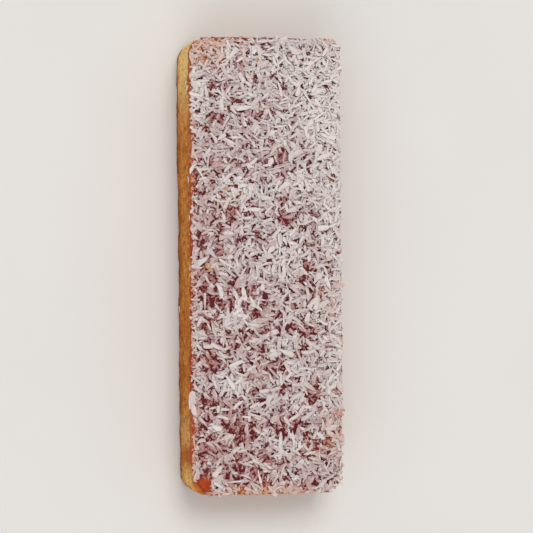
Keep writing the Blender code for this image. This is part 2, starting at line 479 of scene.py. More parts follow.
@dataclass(frozen=True)
class JamFinish:
    """Glossy raspberry jam: dark where it is thick, orange-red where it thins out.

    Attributes:
        thick: The jam over the middle of the cake.
        middling: Between thick and thin.
        thin: The jam in a smear or a blob.
        soaked: Hardly any jam, with the crumb that it has soaked into showing through.
        soaked_light: The same where the crumb is lightest.
        roughness: Of its wet surface, of the soaked crumb and of the cut rim.
        shine: How strongly it mirrors.
        bending: How strongly it bends light, as an index of refraction.
        uneven: Sizes and strengths of its thicker and thinner blotches.
        mottle: Size of the soaked crumb's mottling.
        ripple: Size and depth of the ripples of its surface.
        scatter: How much light gets in under the surface, and how far each colour does.
    """

    thick: Colour = srgb(100, 28, 31)
    middling: Colour = srgb(138, 44, 34)
    thin: Colour = srgb(176, 66, 2)
    soaked: Colour = srgb(130, 56, 22)
    soaked_light: Colour = srgb(194, 116, 60)
    roughness: Triple = (0.24, 0.60, 0.65)
    shine: float = 0.30
    bending: float = 1.42
    uneven: tuple[Pair, ...] = ((0.004, 0.6), (0.0015, 0.5))
    mottle: float = 0.0011
    ripple: Pair = (0.0011, 0.00012)
    scatter: tuple[float, Triple] = (0.25, (0.0015, 0.0003, 0.0002))

    def material(self) -> bpy.types.Material:
        """Make the material.

        Returns:
            The material.
        """
        graph = Graph("raspberry_jam")
        thinness = graph.mark("thin")
        for size, strength in self.uneven:
            thinness = graph.uneven(thinness, size, strength, detail=3.0)
        jam = graph.ramp(thinness, ((0.10, self.thick), (0.42, self.middling), (0.68, self.thin)))
        mottle = graph.grain(self.mottle, detail=5.0, rough=0.65)
        crumb = graph.ramp(mottle, ((0.36, self.soaked), (0.64, self.soaked_light)))
        wet, soaked, cut = self.roughness
        dull = graph.spread(thinness, (0.60, 1.00), (wet, soaked))
        duller = graph.spread(graph.mark("rim"), (0.0, 1.0), (wet, cut))
        size, depth = self.ripple
        graph.scatter(*self.scatter)
        return graph.shade(
            Base_Color=graph.blend(graph.spread(thinness, (0.66, 1.00)), jam, crumb),
            Roughness=graph.calculate("MAXIMUM", dull, duller),
            IOR=self.bending,
            Specular_IOR_Level=self.shine,
            Normal=graph.relief(graph.grain(size), depth),
        )


@dataclass(frozen=True)
class CoconutFinish:
    """White coconut, a little translucent, stained by the jam that it lies in.

    Attributes:
        bright: The whitest shreds.
        dull: The greyest shreds.
        stained: Coconut that touches the jam.
        warmed: The same where the jam is thin and orange.
        roughness: Of its waxy surface.
        blotch: Size and strength of the unevenness of the stains.
        fibres: Size and depth of the fibres of its surface.
        scatter: How much light gets in under the surface, and how far each colour does.
    """

    bright: Colour = srgb(229, 216, 212)
    dull: Colour = srgb(204, 188, 184)
    stained: Colour = srgb(166, 98, 96)
    warmed: Colour = srgb(208, 140, 100)
    roughness: float = 0.55
    blotch: Pair = (0.0014, 0.5)
    fibres: Pair = (0.0004, 0.00006)
    scatter: tuple[float, Triple] = (0.3, (0.0008, 0.0006, 0.0005))

    def material(self) -> bpy.types.Material:
        """Make the material.

        Returns:
            The material.
        """
        graph = Graph("desiccated_coconut")
        flesh = graph.blend(graph.mark("tone"), self.dull, self.bright)
        stain = graph.uneven(graph.mark("stain"), *self.blotch)
        soaked = graph.blend(graph.mark("warm"), self.stained, self.warmed)
        flesh = graph.blend(graph.spread(stain, (0.05, 1.0), (0.0, 0.92)), flesh, soaked)
        size, depth = self.fibres
        fibres = graph.relief(graph.grain(size, detail=3.0, rough=0.6), depth)
        graph.scatter(*self.scatter)
        return graph.shade(Base_Color=flesh, Roughness=self.roughness, Normal=fibres)


@dataclass(frozen=True)
class FloorFinish:
    """A pale matt table top.

    Attributes:
        colour: Its colour.
        shade: Of its darker blotches.
        blotch: Size of those.
        roughness: Of its surface.
    """

    colour: Colour = srgb(227, 224, 221)
    shade: Colour = srgb(224, 221, 217)
    blotch: float = 0.05
    roughness: float = 0.7

    def material(self) -> bpy.types.Material:
        """Make the material.

        Returns:
            The material.
        """
        graph = Graph("table_top")
        tone = graph.ramp(graph.grain(self.blotch), ((0.2, self.shade), (0.8, self.colour)))
        return graph.shade(Base_Color=tone, Roughness=self.roughness)


# ---- The slice's form ----


@dataclass(frozen=True)
class SliceForm:
    """The slice's outline and levels, by the rule that shaped the solids.

    Attributes:
        sponge_top: Height of the sponge, from the solids.
        length: Along Y, before any unevenness.
        width: Along X, before any unevenness.
        corner_radii: Of the corners seen from above, anticlockwise from the far right one.
        edge_wander: How far the knife's cut strays from a straight line.
        wander_length: How long its strays are.
        wander_shift: Where the noise is read for it.
        base_rounding: Of the baked lower edge.
        top_rounding: Of the cut upper edge.
        side_bulge: How far the sides stand out at half height.
        jam_gap: Between the solids of the sponge and of the jam.
        jam_thickness: Of the sheet.
        jam_swell: How far its top rises and falls.
        swell_length: How long its swells are.
        swell_shift: Where the noise is read for them.
        rim_fall: How far its top drops at the rim.
        rim_fall_width: How wide that drop is.
        relief: Height and length of the roughness of the cut sides, coarsest first.
        relief_shift: Where the noise is read for the coarsest.
        bare_corner: Where the sheet is torn back from the sponge.
        bare_reach: How far from there the tear reaches.
        bare_depth: How deep it is.
        blob: Middle of the bare blob of jam beside it.
        blob_radius: Of that blob.
        blob_clear: Middle of the area round it that coconut keeps off.
        soaked_runs: Where juice has run down the left side: along, half width and strength.
        painted_light_runs: Where the left side is painted paler, as light falling on it, in the same
            way.
    """

    sponge_top: float
    length: float = 0.1262
    width: float = 0.0424
    corner_radii: tuple[float, ...] = (0.0024, 0.0046, 0.0042, 0.0048)
    edge_wander: float = 0.00035
    wander_length: float = 0.0150
    wander_shift: float = 3.7
    base_rounding: float = 0.0007
    top_rounding: float = 0.0005
    side_bulge: float = 0.0003
    jam_gap: float = 0.0003
    jam_thickness: float = 0.0013
    jam_swell: float = 0.00025
    swell_length: float = 0.0110
    swell_shift: float = 7.9
    rim_fall: float = 0.0004
    rim_fall_width: float = 0.0030
    relief: tuple[Pair, ...] = ((0.00030, 0.0042), (0.00012, 0.0016), (0.00007, 0.0007))
    relief_shift: float = 11.3
    bare_corner: Pair = (-0.0209, -0.0618)
    bare_reach: float = 0.0062
    bare_depth: float = 0.0016
    blob: Pair = (-0.0176, -0.0597)
    blob_radius: float = 0.0021
    blob_clear: Pair = (-0.0182, -0.0598)
    soaked_runs: tuple[Triple, ...] = (
        (-0.0526, 0.0019, 1.0), (-0.0300, 0.0030, 0.30), (-0.0165, 0.0075, 0.50),
    )
    painted_light_runs: tuple[Triple, ...] = (
        (0.0570, 0.0120, 0.98), (-0.0460, 0.0055, 0.42), (-0.0590, 0.0040, 0.55),
    )

    CORNER_SIDES: ClassVar[tuple[tuple[int, int], ...]] = ((1, 1), (-1, 1), (-1, -1), (1, -1))

    def outline(self, spacing: float) -> tuple[Array, Array]:
        """Points round the slice seen from above, anticlockwise, with the knife's unevenness.

        Args:
            spacing: About how far apart they are.

        Returns:
            The points and their outward normals, one row of three each.
        """
        arcs = []
        for turn, ((side_x, side_y), radius) in enumerate(zip(self.CORNER_SIDES, self.corner_radii)):
            middle = np.array([self.width / 2 - radius, self.length / 2 - radius, 0.0])
            centre = middle * (side_x, side_y, 0.0)
            steps = max(3, round(radius * math.pi / 2 / spacing) + 1)
            angles = math.pi / 2 * (turn + np.arange(steps + 1) / steps)
            normals = np.stack([np.cos(angles), np.sin(angles), np.zeros_like(angles)], axis=1)
            arcs.append((centre + normals * radius, normals))
        points, normals = [], []
        for (arc, arc_normals), (following, _) in zip(arcs, arcs[1:] + arcs[:1]):
            steps = round(float(np.linalg.norm(following[0] - arc[-1])) / spacing)
            shares = (np.arange(1, steps) / steps)[:, None]
            points += [arc, arc[-1] + (following[0] - arc[-1]) * shares]
            normals += [arc_normals, np.repeat(arc_normals[-1:], steps - 1, axis=0)]
        points, normals = np.concatenate(points), np.concatenate(normals)
        stray = self.edge_wander * waves(points, self.wander_length, self.wander_shift)
        return points + normals * stray[:, None], normals

    def depth_inside(self, points: Array) -> Array:
        """How far places are inside the slice's plain outline.

        Args:
            points: The places, one row of three each.

        Returns:
            The depth of each, less than zero outside.
        """
        x, y = points[:, 0], points[:, 1]
        right, far = x >= 0, y >= 0
        radii = self.corner_radii
        radius = np.where(far, np.where(right, radii[0], radii[1]), np.where(right, radii[3], radii[2]))
        over_x = np.abs(x) - (self.width / 2 - radius)
        over_y = np.abs(y) - (self.length / 2 - radius)
        outside = np.hypot(np.maximum(over_x, 0.0), np.maximum(over_y, 0.0))
        return radius - outside - np.minimum(np.maximum(over_x, over_y), 0.0)

    def jam_top(self, points: Array) -> Array:
        """Height of the jam's upper surface, with its swells and the fall at its rim.

        Args:
            points: Places on the floor, one row of three each.

        Returns:
            The height over each.
        """
        height = self.sponge_top + self.jam_gap + self.jam_thickness
        height = height + self.jam_swell * waves(points, self.swell_length, self.swell_shift)
        depth = np.maximum(self.depth_inside(points), 0.0)
        return height - self.rim_fall * np.maximum(0.0, 1.0 - depth / self.rim_fall_width) ** 2

    def tear(self, points: Array) -> Array:
        """How far the jam is drawn back at each place of its outline."""
        away = distance_from(points, self.bare_corner)
        return self.bare_depth * smooth_step(1.0 - away / self.bare_reach)

    def drawn_in(self, ring: Array, share: float, height: float) -> Array:
        """Draw a ring in towards the slice's middle line.

        Args:
            ring: The ring's points.
            share: Of the way to the middle line.
            height: Of the new ring.

        Returns:
            The new ring's points.
        """
        middle = self.length / 2 - self.width / 2
        target = np.stack([np.zeros(len(ring)), np.clip(ring[:, 1], -middle, middle)], axis=1)
        moved = ring[:, :2] + (target - ring[:, :2]) * share
        return np.column_stack([moved, np.full(len(ring), height)])

    def on_left_side(self, points: Array, runs: tuple[Triple, ...]) -> Array:
        """How strongly each place of the outline is marked by bands down its left side, 0 to 1.

        Args:
            points: The outline's points.
            runs: Place along the slice, half width and strength of each band.

        Returns:
            A mark for each point, fading round the corners.
        """
        left = smooth_step(0.5 - points[:, 0] / self.width)
        marked = np.zeros(len(points))
        for along, half_width, strength in runs:
            across = (points[:, 1] - along) / half_width
            marked = np.maximum(marked, left * strength * np.exp(-(across**2)))
        return marked

    def side_offset(self, places: Array) -> Array:
        """How far the cut side stands out at places of the outline, each at its own height.

        Args:
            places: The outline's points, raised to their heights.

        Returns:
            The distance along the outline's normal, without the rounded edges and the open cells.
        """
        offset = self.side_bulge * np.sin(math.pi * np.clip(places[:, 2] / self.sponge_top, 0.0, 1.0))
        for octave, (height, length) in enumerate(self.relief):
            offset = offset + height * waves(places, length, self.relief_shift * (octave + 1))
        return offset


# ---- Sponge ----


@dataclass(frozen=True)
class Lumps:
    """One size of open cell, or of raised grain, in the cut crumb.

    Attributes:
        radius: Least and greatest half width.
        density: How many there are in a square metre.
        depth: Depth, or height, as a share of the half width.
    """

    radius: Pair
    density: float
    depth: float


@dataclass
class Sponge:
    """The bar of sponge: cut sides full of open cells over a browned base.

    Attributes:
        form: The slice's form.
        spacing: Between vertices on the sides.
        seed: Of every random draw.
        cells: The sizes of open cell, largest first.
        grains: The sizes of raised grain, largest first.
        flatness: How many times wider than high the cells are, at most.
        shallowest: Depth of the shallowest lump, as a share of the deepest's.
        lobes: How far each lump is out of round, by two lobes and by three.
        window: Half width of the area that a lump is worked out in, as a share of its own.
        crust_height: Below this the sides are closed.
        crust_share: Where they start to open, as a share of that.
        lid_height: So near the top the cells fade out.
        base_shares: Rings of the underside, as shares of the way to its middle line.
        lid_steps: How far in from the rim the rings of the top lie.
        torn: Height and length of the torn crumb at the bare corner, and how far it is sunk.
    """

    form: SliceForm
    spacing: float = 0.00028
    seed: int = 7
    cells: tuple[Lumps, ...] = (
        Lumps((0.00070, 0.00120), 1.3e4, 0.80),
        Lumps((0.00040, 0.00070), 2.2e5, 1.00),
        Lumps((0.00026, 0.00040), 7.0e5, 0.90),
    )
    grains: tuple[Lumps, ...] = (
        Lumps((0.00050, 0.00090), 1.8e5, 0.16),
        Lumps((0.00028, 0.00050), 9.0e5, 0.30),
    )
    flatness: float = 1.7
    shallowest: float = 0.55
    lobes: Pair = (0.22, 0.14)
    window: float = 1.3
    crust_height: float = 0.0011
    crust_share: float = 0.7
    lid_height: float = 0.0004
    base_shares: tuple[float, ...] = (0.03, 0.12, 0.4)
    lid_steps: tuple[float, ...] = (0.0004, 0.0008, 0.0013, 0.0019, 0.0026)
    torn: Triple = (0.0005, 0.0011, 0.0002)

    EDGE_SHARES: ClassVar[Array] = np.array([0.0, 0.08, 0.25, 0.55])

    def levels(self) -> Array:
        """Place the rings of the sides, closer together at the rounded edges.

        Returns:
            Their heights, lowest first.
        """
        form = self.form
        low = form.base_rounding * self.EDGE_SHARES
        high = form.sponge_top - form.top_rounding * self.EDGE_SHARES[::-1]
        middle_span = (form.base_rounding, form.sponge_top - form.top_rounding)
        count = round((middle_span[1] - middle_span[0]) / self.spacing)
        return np.concatenate([low, np.linspace(*middle_span, count), high])

    def rounding(self, level: float) -> float:
        """Draw the side in at its rounded edges.

        Args:
            level: The height.

        Returns:
            How far in it is there.
        """
        form = self.form
        drawn = 0.0
        for radius, away in ((form.base_rounding, level), (form.top_rounding, form.sponge_top - level)):
            if away < radius:
                drawn += radius * (1.0 - math.sqrt(1.0 - (1.0 - away / radius) ** 2))
        return drawn

    def stamped(self, sizes: tuple[Lumps, ...], run: Array, levels: Array, draw: Draws) -> Array:
        """Depths of irregular oval lumps strewn over the unrolled side.

        Args:
            sizes: Their sizes.
            run: Distance round the outline of each column of vertices.
            levels: Height of each row.
            draw: The random draws.

        Returns:
            The greatest depth at each column and row.
        """
        depth = np.zeros((len(run), len(levels)))
        around, top = float(run[-1]) + self.spacing, float(levels[-1])
        for size in sizes:
            count = int(size.density * around * top)
            middles = draw.uniform((0.0, 0.0), (around, top), (count, 2))
            radii = draw.uniform(*size.radius, count)
            flat = draw.uniform(1.0, self.flatness, count)
            phases = draw.uniform(0.0, math.tau, (count, 2))
            strength = draw.uniform(self.shallowest, 1.0, count) * size.depth
            for (u, z), radius, wide, phase, deep in zip(middles, radii, flat, phases, strength):
                reach = radius * wide * self.window
                first, last = int((u - reach) / self.spacing), int((u + reach) / self.spacing) + 1
                columns = np.arange(first, last + 1)
                rows = slice(*np.searchsorted(levels, (z - reach, z + reach)))
                across = (columns * self.spacing - u)[:, None] / wide
                up = (levels[rows] - z)[None, :]
                angle = np.arctan2(up, across)
                lobes = 1.0 + self.lobes[0] * np.cos(2 * angle + phase[0])
                lobes += self.lobes[1] * np.cos(3 * angle + phase[1])
                share = (across**2 + up**2) / (radius * lobes) ** 2
                bowl = deep * radius * np.sqrt(np.maximum(0.0, 1.0 - share))
                wrapped = columns % len(run)
                depth[wrapped, rows] = np.maximum(depth[wrapped, rows], bowl)
        return depth

    def build(self, finish: CrumbFinish) -> bpy.types.Object:
        """Build the sponge and put it in place of its solid.

        Args:
            finish: How the crumb looks.

        Returns:
            The sponge's object.
        """
        form = self.form
        outline, normals = form.outline(self.spacing)
        around = len(outline)
        run = np.arange(around) * self.spacing
        levels = self.levels()
        draw = np.random.default_rng(self.seed)
        fade = smooth_step((levels - self.crust_height * self.crust_share) / self.crust_height)
        fade = fade * smooth_step((form.sponge_top - levels) / self.lid_height)
        cells = self.stamped(self.cells, run, levels, draw) * fade[None, :]
        grains = self.stamped(self.grains, run, levels, draw) * fade[None, :]
        pore_depth = self.cells[1].radius[1]
        rings, pores = [], []
        for row, level in enumerate(levels):
            place = outline + np.array([0.0, 0.0, level])
            offset = form.side_offset(place) - self.rounding(level) - cells[:, row] + grains[:, row]
            rings.append(place + normals * offset[:, None])
            # Depth of each cell, which the crumb finish turns into painted shade.
            pores.append((cells[:, row] - grains[:, row]) / pore_depth)
        below = [form.drawn_in(rings[0], share, 0.0) for share in reversed(self.base_shares)]
        above = [self.lid_ring(rings[-1], step) for step in self.lid_steps]
        stack = len(below) + len(rings) + len(above)
        closed = np.zeros(around)
        marks = {
            "pore": np.concatenate([closed] * len(below) + pores + [closed] * len(above)),
            "wet": np.tile(form.on_left_side(outline, form.soaked_runs), stack),
            # Painted light on the left side's ends, which the crumb finish reads as the pale mark.
            "pale": np.tile(form.on_left_side(outline, form.painted_light_runs), stack),
        }
        points = np.concatenate(below + rings + above)
        material = finish.material(form.sponge_top)
        piece = mesh_piece("sponge_bar", points, shut_faces(stack, around), material, marks)
        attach(piece, ROOT)
        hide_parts("sponge")
        return piece

    def lid_ring(self, ring: Array, step: float) -> Array:
        """Make a ring of the top, with torn crumb at the bare corner.

        Args:
            ring: The rim's points.
            step: How far in from the rim it lies.

        Returns:
            The ring's points.
        """
        form = self.form
        height, length, sunk = self.torn
        moved = form.drawn_in(ring, step / (form.width / 2), form.sponge_top)
        rough = waves(moved, length, TORN_SHIFT)
        moved[:, 2] += form.tear(moved) / form.bare_depth * (height * rough - sunk)
        return moved


# ---- Jam ----


@dataclass(frozen=True)
class Patch:
    """An oval area of the top, seen from above.

    Attributes:
        place: Its middle.
        reach: Its half extents across and along the slice.
        strength: Of what it marks, 0 to 1.
    """

    place: Pair
    reach: Pair
    strength: float

    def share(self, points: Array) -> Array:
        """How strongly each place is marked, fading towards the oval's edge.

        Args:
            points: The places.

        Returns:
            A mark for each, 0 to 1.
        """
        across = (points[:, 0] - self.place[0]) / self.reach[0]
        along = (points[:, 1] - self.place[1]) / self.reach[1]
        return self.strength * smooth_step((1.0 - np.hypot(across, along)) * PATCH_EDGE)


def patches(*rows: tuple[float, float, float, float, float]) -> tuple[Patch, ...]:
    """Make patches, each from its middle, its half extents across and along, and its strength."""
    return tuple(Patch((x, y), (across, along), strength) for x, y, across, along, strength in rows)


def total_share(areas: Sequence[Patch], points: Array) -> Array:
    """How strongly several patches together mark each place."""
    return sum(area.share(points) for area in areas)


@dataclass(frozen=True)
class Run:
    """Jam that has run down the left side.

    Attributes:
        along: Its middle along the slice.
        half_width: Of the run at the rim.
        length: How far down it reaches.
    """

    along: float
    half_width: float
    length: float


@dataclass
class JamSheet:
    """The sheet of jam, with drips over its rim, a bare seam on one side and the blob at a corner.

    Attributes:
        form: The slice's form.
        spacing: Between vertices round the rim.
        drip_length: How long a drip is along the rim.
        drip_reach: How far down the longest hang.
        drip_start: How strong the noise is where a drip starts, and how fast it grows from there.
        proud: How far the rim stands out, and how much more the drips do.
        seam: The place on the left side where the jam shows most, and its half length.
        seam_fade: How far past its ends the seam reaches, and how fast it fades there.
        seam_edge: How far down the seam hangs, how much that varies, and how long its swells are.
        runs: Where jam has run further down the left side.
        tongue: Exponents of a run's outline: mean, difference between its sides, and roundness.
        bead: The rim's cross-section, as share of its height and of its proud distance.
        steps: How far in from the rim the rings of the top lie.
        tuck: How far the rim's lower edge lies below the sponge's top where it doesn't drip.
        underside: How far in its lowest ring lies, as a share, and how deep in the sponge.
        blob_height: Of the blob over the sheet.
        blob_edge: How ragged the blob is, how long its lobes are, and how round its top is.
        ripple: Height and length of the fine unevenness of the top.
        thin_rim: How thin the jam looks at the rim, and how wide that is.
        left_rim: The same at the left side.
        dark_rim: Where the jam is thick at the left side all the same.
        seam_dark: How much thicker it looks along the seam.
        run_dark: How much thicker it looks over a run, and how much wider than the run that is.
        thin_patches: Where else it was spread thinly.
        rim_width: How far in from the rim its surface is duller.
    """

    form: SliceForm
    spacing: float = 0.00045
    drip_length: float = 0.0048
    drip_reach: float = 0.0012
    drip_start: Pair = (0.05, 2.2)
    proud: Pair = (0.00018, 0.00022)
    seam: Pair = (-0.0420, 0.0120)
    seam_fade: Pair = (1.35, 1.6)
    seam_edge: Triple = (0.6, 0.4, 0.0030)
    runs: tuple[Run, ...] = (Run(-0.0528, 0.0021, 0.0046), Run(-0.0255, 0.0012, 0.0026))
    tongue: Triple = (2.0, 0.8, 0.6)
    bead: tuple[Pair, ...] = (
        (0.00, -1.60), (0.01, -0.20), (0.05, 0.45), (0.14, 0.85), (0.28, 1.00),
        (0.45, 0.85), (0.62, 0.60), (0.78, 0.30), (0.90, -0.10),
    )
    steps: tuple[float, ...] = (
        0.0003, 0.0006, 0.0009, 0.0013, 0.0018, 0.0024, 0.0031, 0.0040, 0.0050, 0.0062,
        0.0075, 0.0089, 0.0104, 0.0120, 0.0137, 0.0155, 0.0173, 0.0190, 0.0204,
    )
    tuck: float = 0.0002
    underside: Pair = (0.06, 0.0001)
    blob_height: float = 0.0005
    blob_edge: Triple = (0.5, 0.0014, 0.7)
    ripple: Pair = (0.00008, 0.0018)
    thin_rim: Pair = (0.55, 0.0011)
    left_rim: Pair = (1.02, 0.0010)
    dark_rim: tuple[Patch, ...] = patches(
        (-0.0205, 0.0070, 0.0060, 0.0080, 0.45), (-0.0205, -0.0120, 0.0060, 0.0085, 0.55),
        (-0.0200, -0.0300, 0.0060, 0.0100, 0.55),
    )
    seam_dark: float = 0.10
    run_dark: Pair = (0.25, 1.4)
    thin_patches: tuple[Patch, ...] = patches(
        (-0.0170, 0.0615, 0.0125, 0.0085, 1.00), (0.0185, 0.0620, 0.0050, 0.0035, 0.95),
        (0.0200, 0.0280, 0.0050, 0.0090, 0.50), (0.0160, -0.0085, 0.0045, 0.0040, 0.45),
        (0.0200, -0.0160, 0.0045, 0.0080, 0.60), (0.0195, -0.0430, 0.0045, 0.0160, 0.50),
        (0.0120, -0.0505, 0.0055, 0.0045, 0.25), (-0.0030, -0.0628, 0.0190, 0.0032, 0.95),
        (-0.0176, -0.0598, 0.0036, 0.0034, 0.64), (-0.0100, 0.0200, 0.0060, 0.0050, 0.45),
    )
    rim_width: float = 0.0005

    def on_left(self, points: Array) -> Array:
        """1 on the left side of the outline, easing to 0 round its corners."""
        return smooth_step(-points[:, 0] / (self.form.width / 4) - 1.0)

    def seam_share(self, points: Array) -> Array:
        """How much each place belongs to the seam on the left side.

        Args:
            points: The places.

        Returns:
            A share for each, 0 to 1.
        """
        middle, half = self.seam
        past, fade = self.seam_fade
        return self.on_left(points) * smooth_step((past - np.abs(points[:, 1] - middle) / half) * fade)

    def drips(self, points: Array) -> Array:
        """How far down the rim hangs.

        Args:
            points: The outline's points.

        Returns:
            A length for each point.
        """
        start, growth = self.drip_start
        hang = smooth_step((waves(points, self.drip_length, DRIP_SHIFT) - start) * growth)
        mean, swing, length = self.seam_edge
        seam = self.seam_share(points) * (mean + swing * waves(points, length, SEAM_SHIFT))
        reach = self.drip_reach * np.maximum(hang, seam)
        left = self.on_left(points)
        steep, askew, roundness = self.tongue
        for run in self.runs:
            across = np.clip((points[:, 1] - run.along) / run.half_width, -1.0, 1.0)
            fall = np.abs(across) ** (steep + askew * np.sign(across))
            tongue = np.maximum(0.0, 1.0 - fall) ** roundness
            reach = np.maximum(reach, left * run.length * tongue)
        return reach * (1.0 - self.form.tear(points) / self.form.bare_depth)

    def surface(self, points: Array) -> Array:
        """Height of the sheet's top, with its ripples and the blob.

        Args:
            points: Places on the floor, one row of three each.

        Returns:
            The height over each.
        """
        form = self.form
        ragged, length, roundness = self.blob_edge
        height = form.jam_top(points) + self.ripple[0] * waves(points, self.ripple[1], RIPPLE_SHIFT)
        away = distance_from(points, form.blob) / form.blob_radius
        away = away * (1.0 + ragged * waves(points, length, BLOB_SHIFT))
        return height + self.blob_height * np.maximum(0.0, 1.0 - away**2) ** roundness

    def thinness(self, points: Array) -> Array:
        """How thin the jam looks from above.

        Args:
            points: The places.

        Returns:
            A share for each, 0 where it is thick and about 1 where it is thinnest.
        """
        depth = np.maximum(self.form.depth_inside(points), 0.0)
        thin = self.thin_rim[0] * np.exp(-depth / self.thin_rim[1])
        left = self.on_left(points) * (1.0 - self.seam_dark * self.seam_share(points))
        strength, wider = self.run_dark
        for run in self.runs:
            across = (points[:, 1] - run.along) / (wider * run.half_width)
            left = left * (1.0 - strength * np.exp(-(across**2)))
        for patch in self.dark_rim:
            left = left * (1.0 - patch.share(points))
        thin = np.maximum(thin, left * self.left_rim[0] * np.exp(-((depth / self.left_rim[1]) ** 2)))
        for patch in self.thin_patches:
            thin = np.maximum(thin, patch.share(points))
        return thin

    def rim_place(self, points: Array, normals: Array, share: Array, out: Array) -> Array:
        """Places on the rim.

        Args:
            points: The outline's points.
            normals: Their outward normals.
            share: How far up the rim each is, 0 to 1.
            out: How far out from the sponge, as a share of the proud distance.

        Returns:
            One place for each point.
        """
        form = self.form
        hang = self.drips(points)
        low = form.sponge_top - self.tuck - hang
        top = form.sponge_top + form.jam_gap + form.jam_thickness - form.rim_fall
        place = points.copy()
        place[:, 2] = low + (top - low) * share
        against = place.copy()
        against[:, 2] = np.minimum(place[:, 2], form.sponge_top)
        thick = self.proud[0] + self.proud[1] * np.minimum(hang / self.drip_reach, 1.0)
        return place + normals * (form.side_offset(against) + thick * out)[:, None]

    def build(self, finish: JamFinish) -> bpy.types.Object:
        """Build the sheet and put it in place of its solid.

        Args:
            finish: How the jam looks.

        Returns:
            The sheet's object.
        """
        form = self.form
        outline, normals = form.outline(self.spacing)
        around = len(outline)
        outline = outline - normals * form.tear(outline)[:, None]
        rings, thin, rim = [], [], []
        for share, out in self.bead:
            rings.append(self.rim_place(outline, normals, np.full(around, share), np.full(around, out)))
            thin.append(self.thinness(outline))
            rim.append(np.ones(around))
        for step in self.steps:
            ring = form.drawn_in(outline, step / (form.width / 2), 0.0)
            ring[:, 2] = self.surface(ring)
            rings.append(ring)
            thin.append(self.thinness(ring))
            rim.append(np.full(around, math.exp(-step / self.rim_width)))
        share, depth = self.underside
        rings.insert(0, form.drawn_in(outline, share, form.sponge_top - depth))
        thin.insert(0, thin[0])
        rim.insert(0, rim[0])
        marks = {"thin": np.concatenate(thin), "rim": np.concatenate(rim)}
        faces, material = shut_faces(len(rings), around), finish.material()
        piece = mesh_piece("jam_sheet", np.concatenate(rings), faces, material, marks)
        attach(piece, ROOT)
        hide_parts("jam_layer")
        return piece


# ---- Coconut ----


@dataclass(frozen=True)
class CutSizes:
    """Sizes of one sort of coconut.

    Attributes:
        name: Of its piece.
        count: How many are dropped on the top.
        clinging: How many are tried on the sides.
        length: Least and greatest.
        width: Least and greatest.
        thickness: Least and greatest.
        stations: Cross-sections between the tips.
        sides: Points round a cross-section, an even number.
        least: How likely one is to stay even where the cover is thin.
    """

    name: str
    count: int
    clinging: int
    length: Pair
    width: Pair
    thickness: Pair
    stations: int
    sides: int
    least: float

    def draw(self, draw: Draws) -> Triple:
        """Draw one piece's length, width and thickness."""
        return tuple(float(draw.uniform(*span)) for span in (self.length, self.width, self.thickness))


class Cut(Enum):
    """The sorts of coconut, largest first."""

    FLAKE = CutSizes(
        "coconut_flakes", 560, 6, (0.0028, 0.0050), (0.0011, 0.0017), (0.00026, 0.00042), 6, 6, 0.0
    )
    STRAND = CutSizes(
        "coconut_strands", 1000, 20, (0.0030, 0.0052), (0.00050, 0.00078), (0.00022, 0.00034), 6, 6, 0.3
    )
    SHRED = CutSizes(
        "coconut_shreds", 5000, 240, (0.0018, 0.0037), (0.00066, 0.00114), (0.00022, 0.00038), 4, 6, 0.4
    )
    BIT = CutSizes(
        "coconut_bits", 7000, 420, (0.0007, 0.0017), (0.00038, 0.00080), (0.00018, 0.00032), 3, 4, 0.6
    )
    FINE = CutSizes(
        "coconut_fines", 7500, 80, (0.0004, 0.0009), (0.00026, 0.00048), (0.00015, 0.00026), 3, 4, 0.7
    )


@dataclass
class Laid:
    """Where one piece of coconut came to rest.

    Attributes:
        place: Its middle.
        turn: The rotation from its own axes: length, width, thickness.
        size: Length, width and thickness.
        dry: Whether it has stayed white.
    """

    place: Vector
    turn: Matrix
    size: Triple
    dry: bool = False


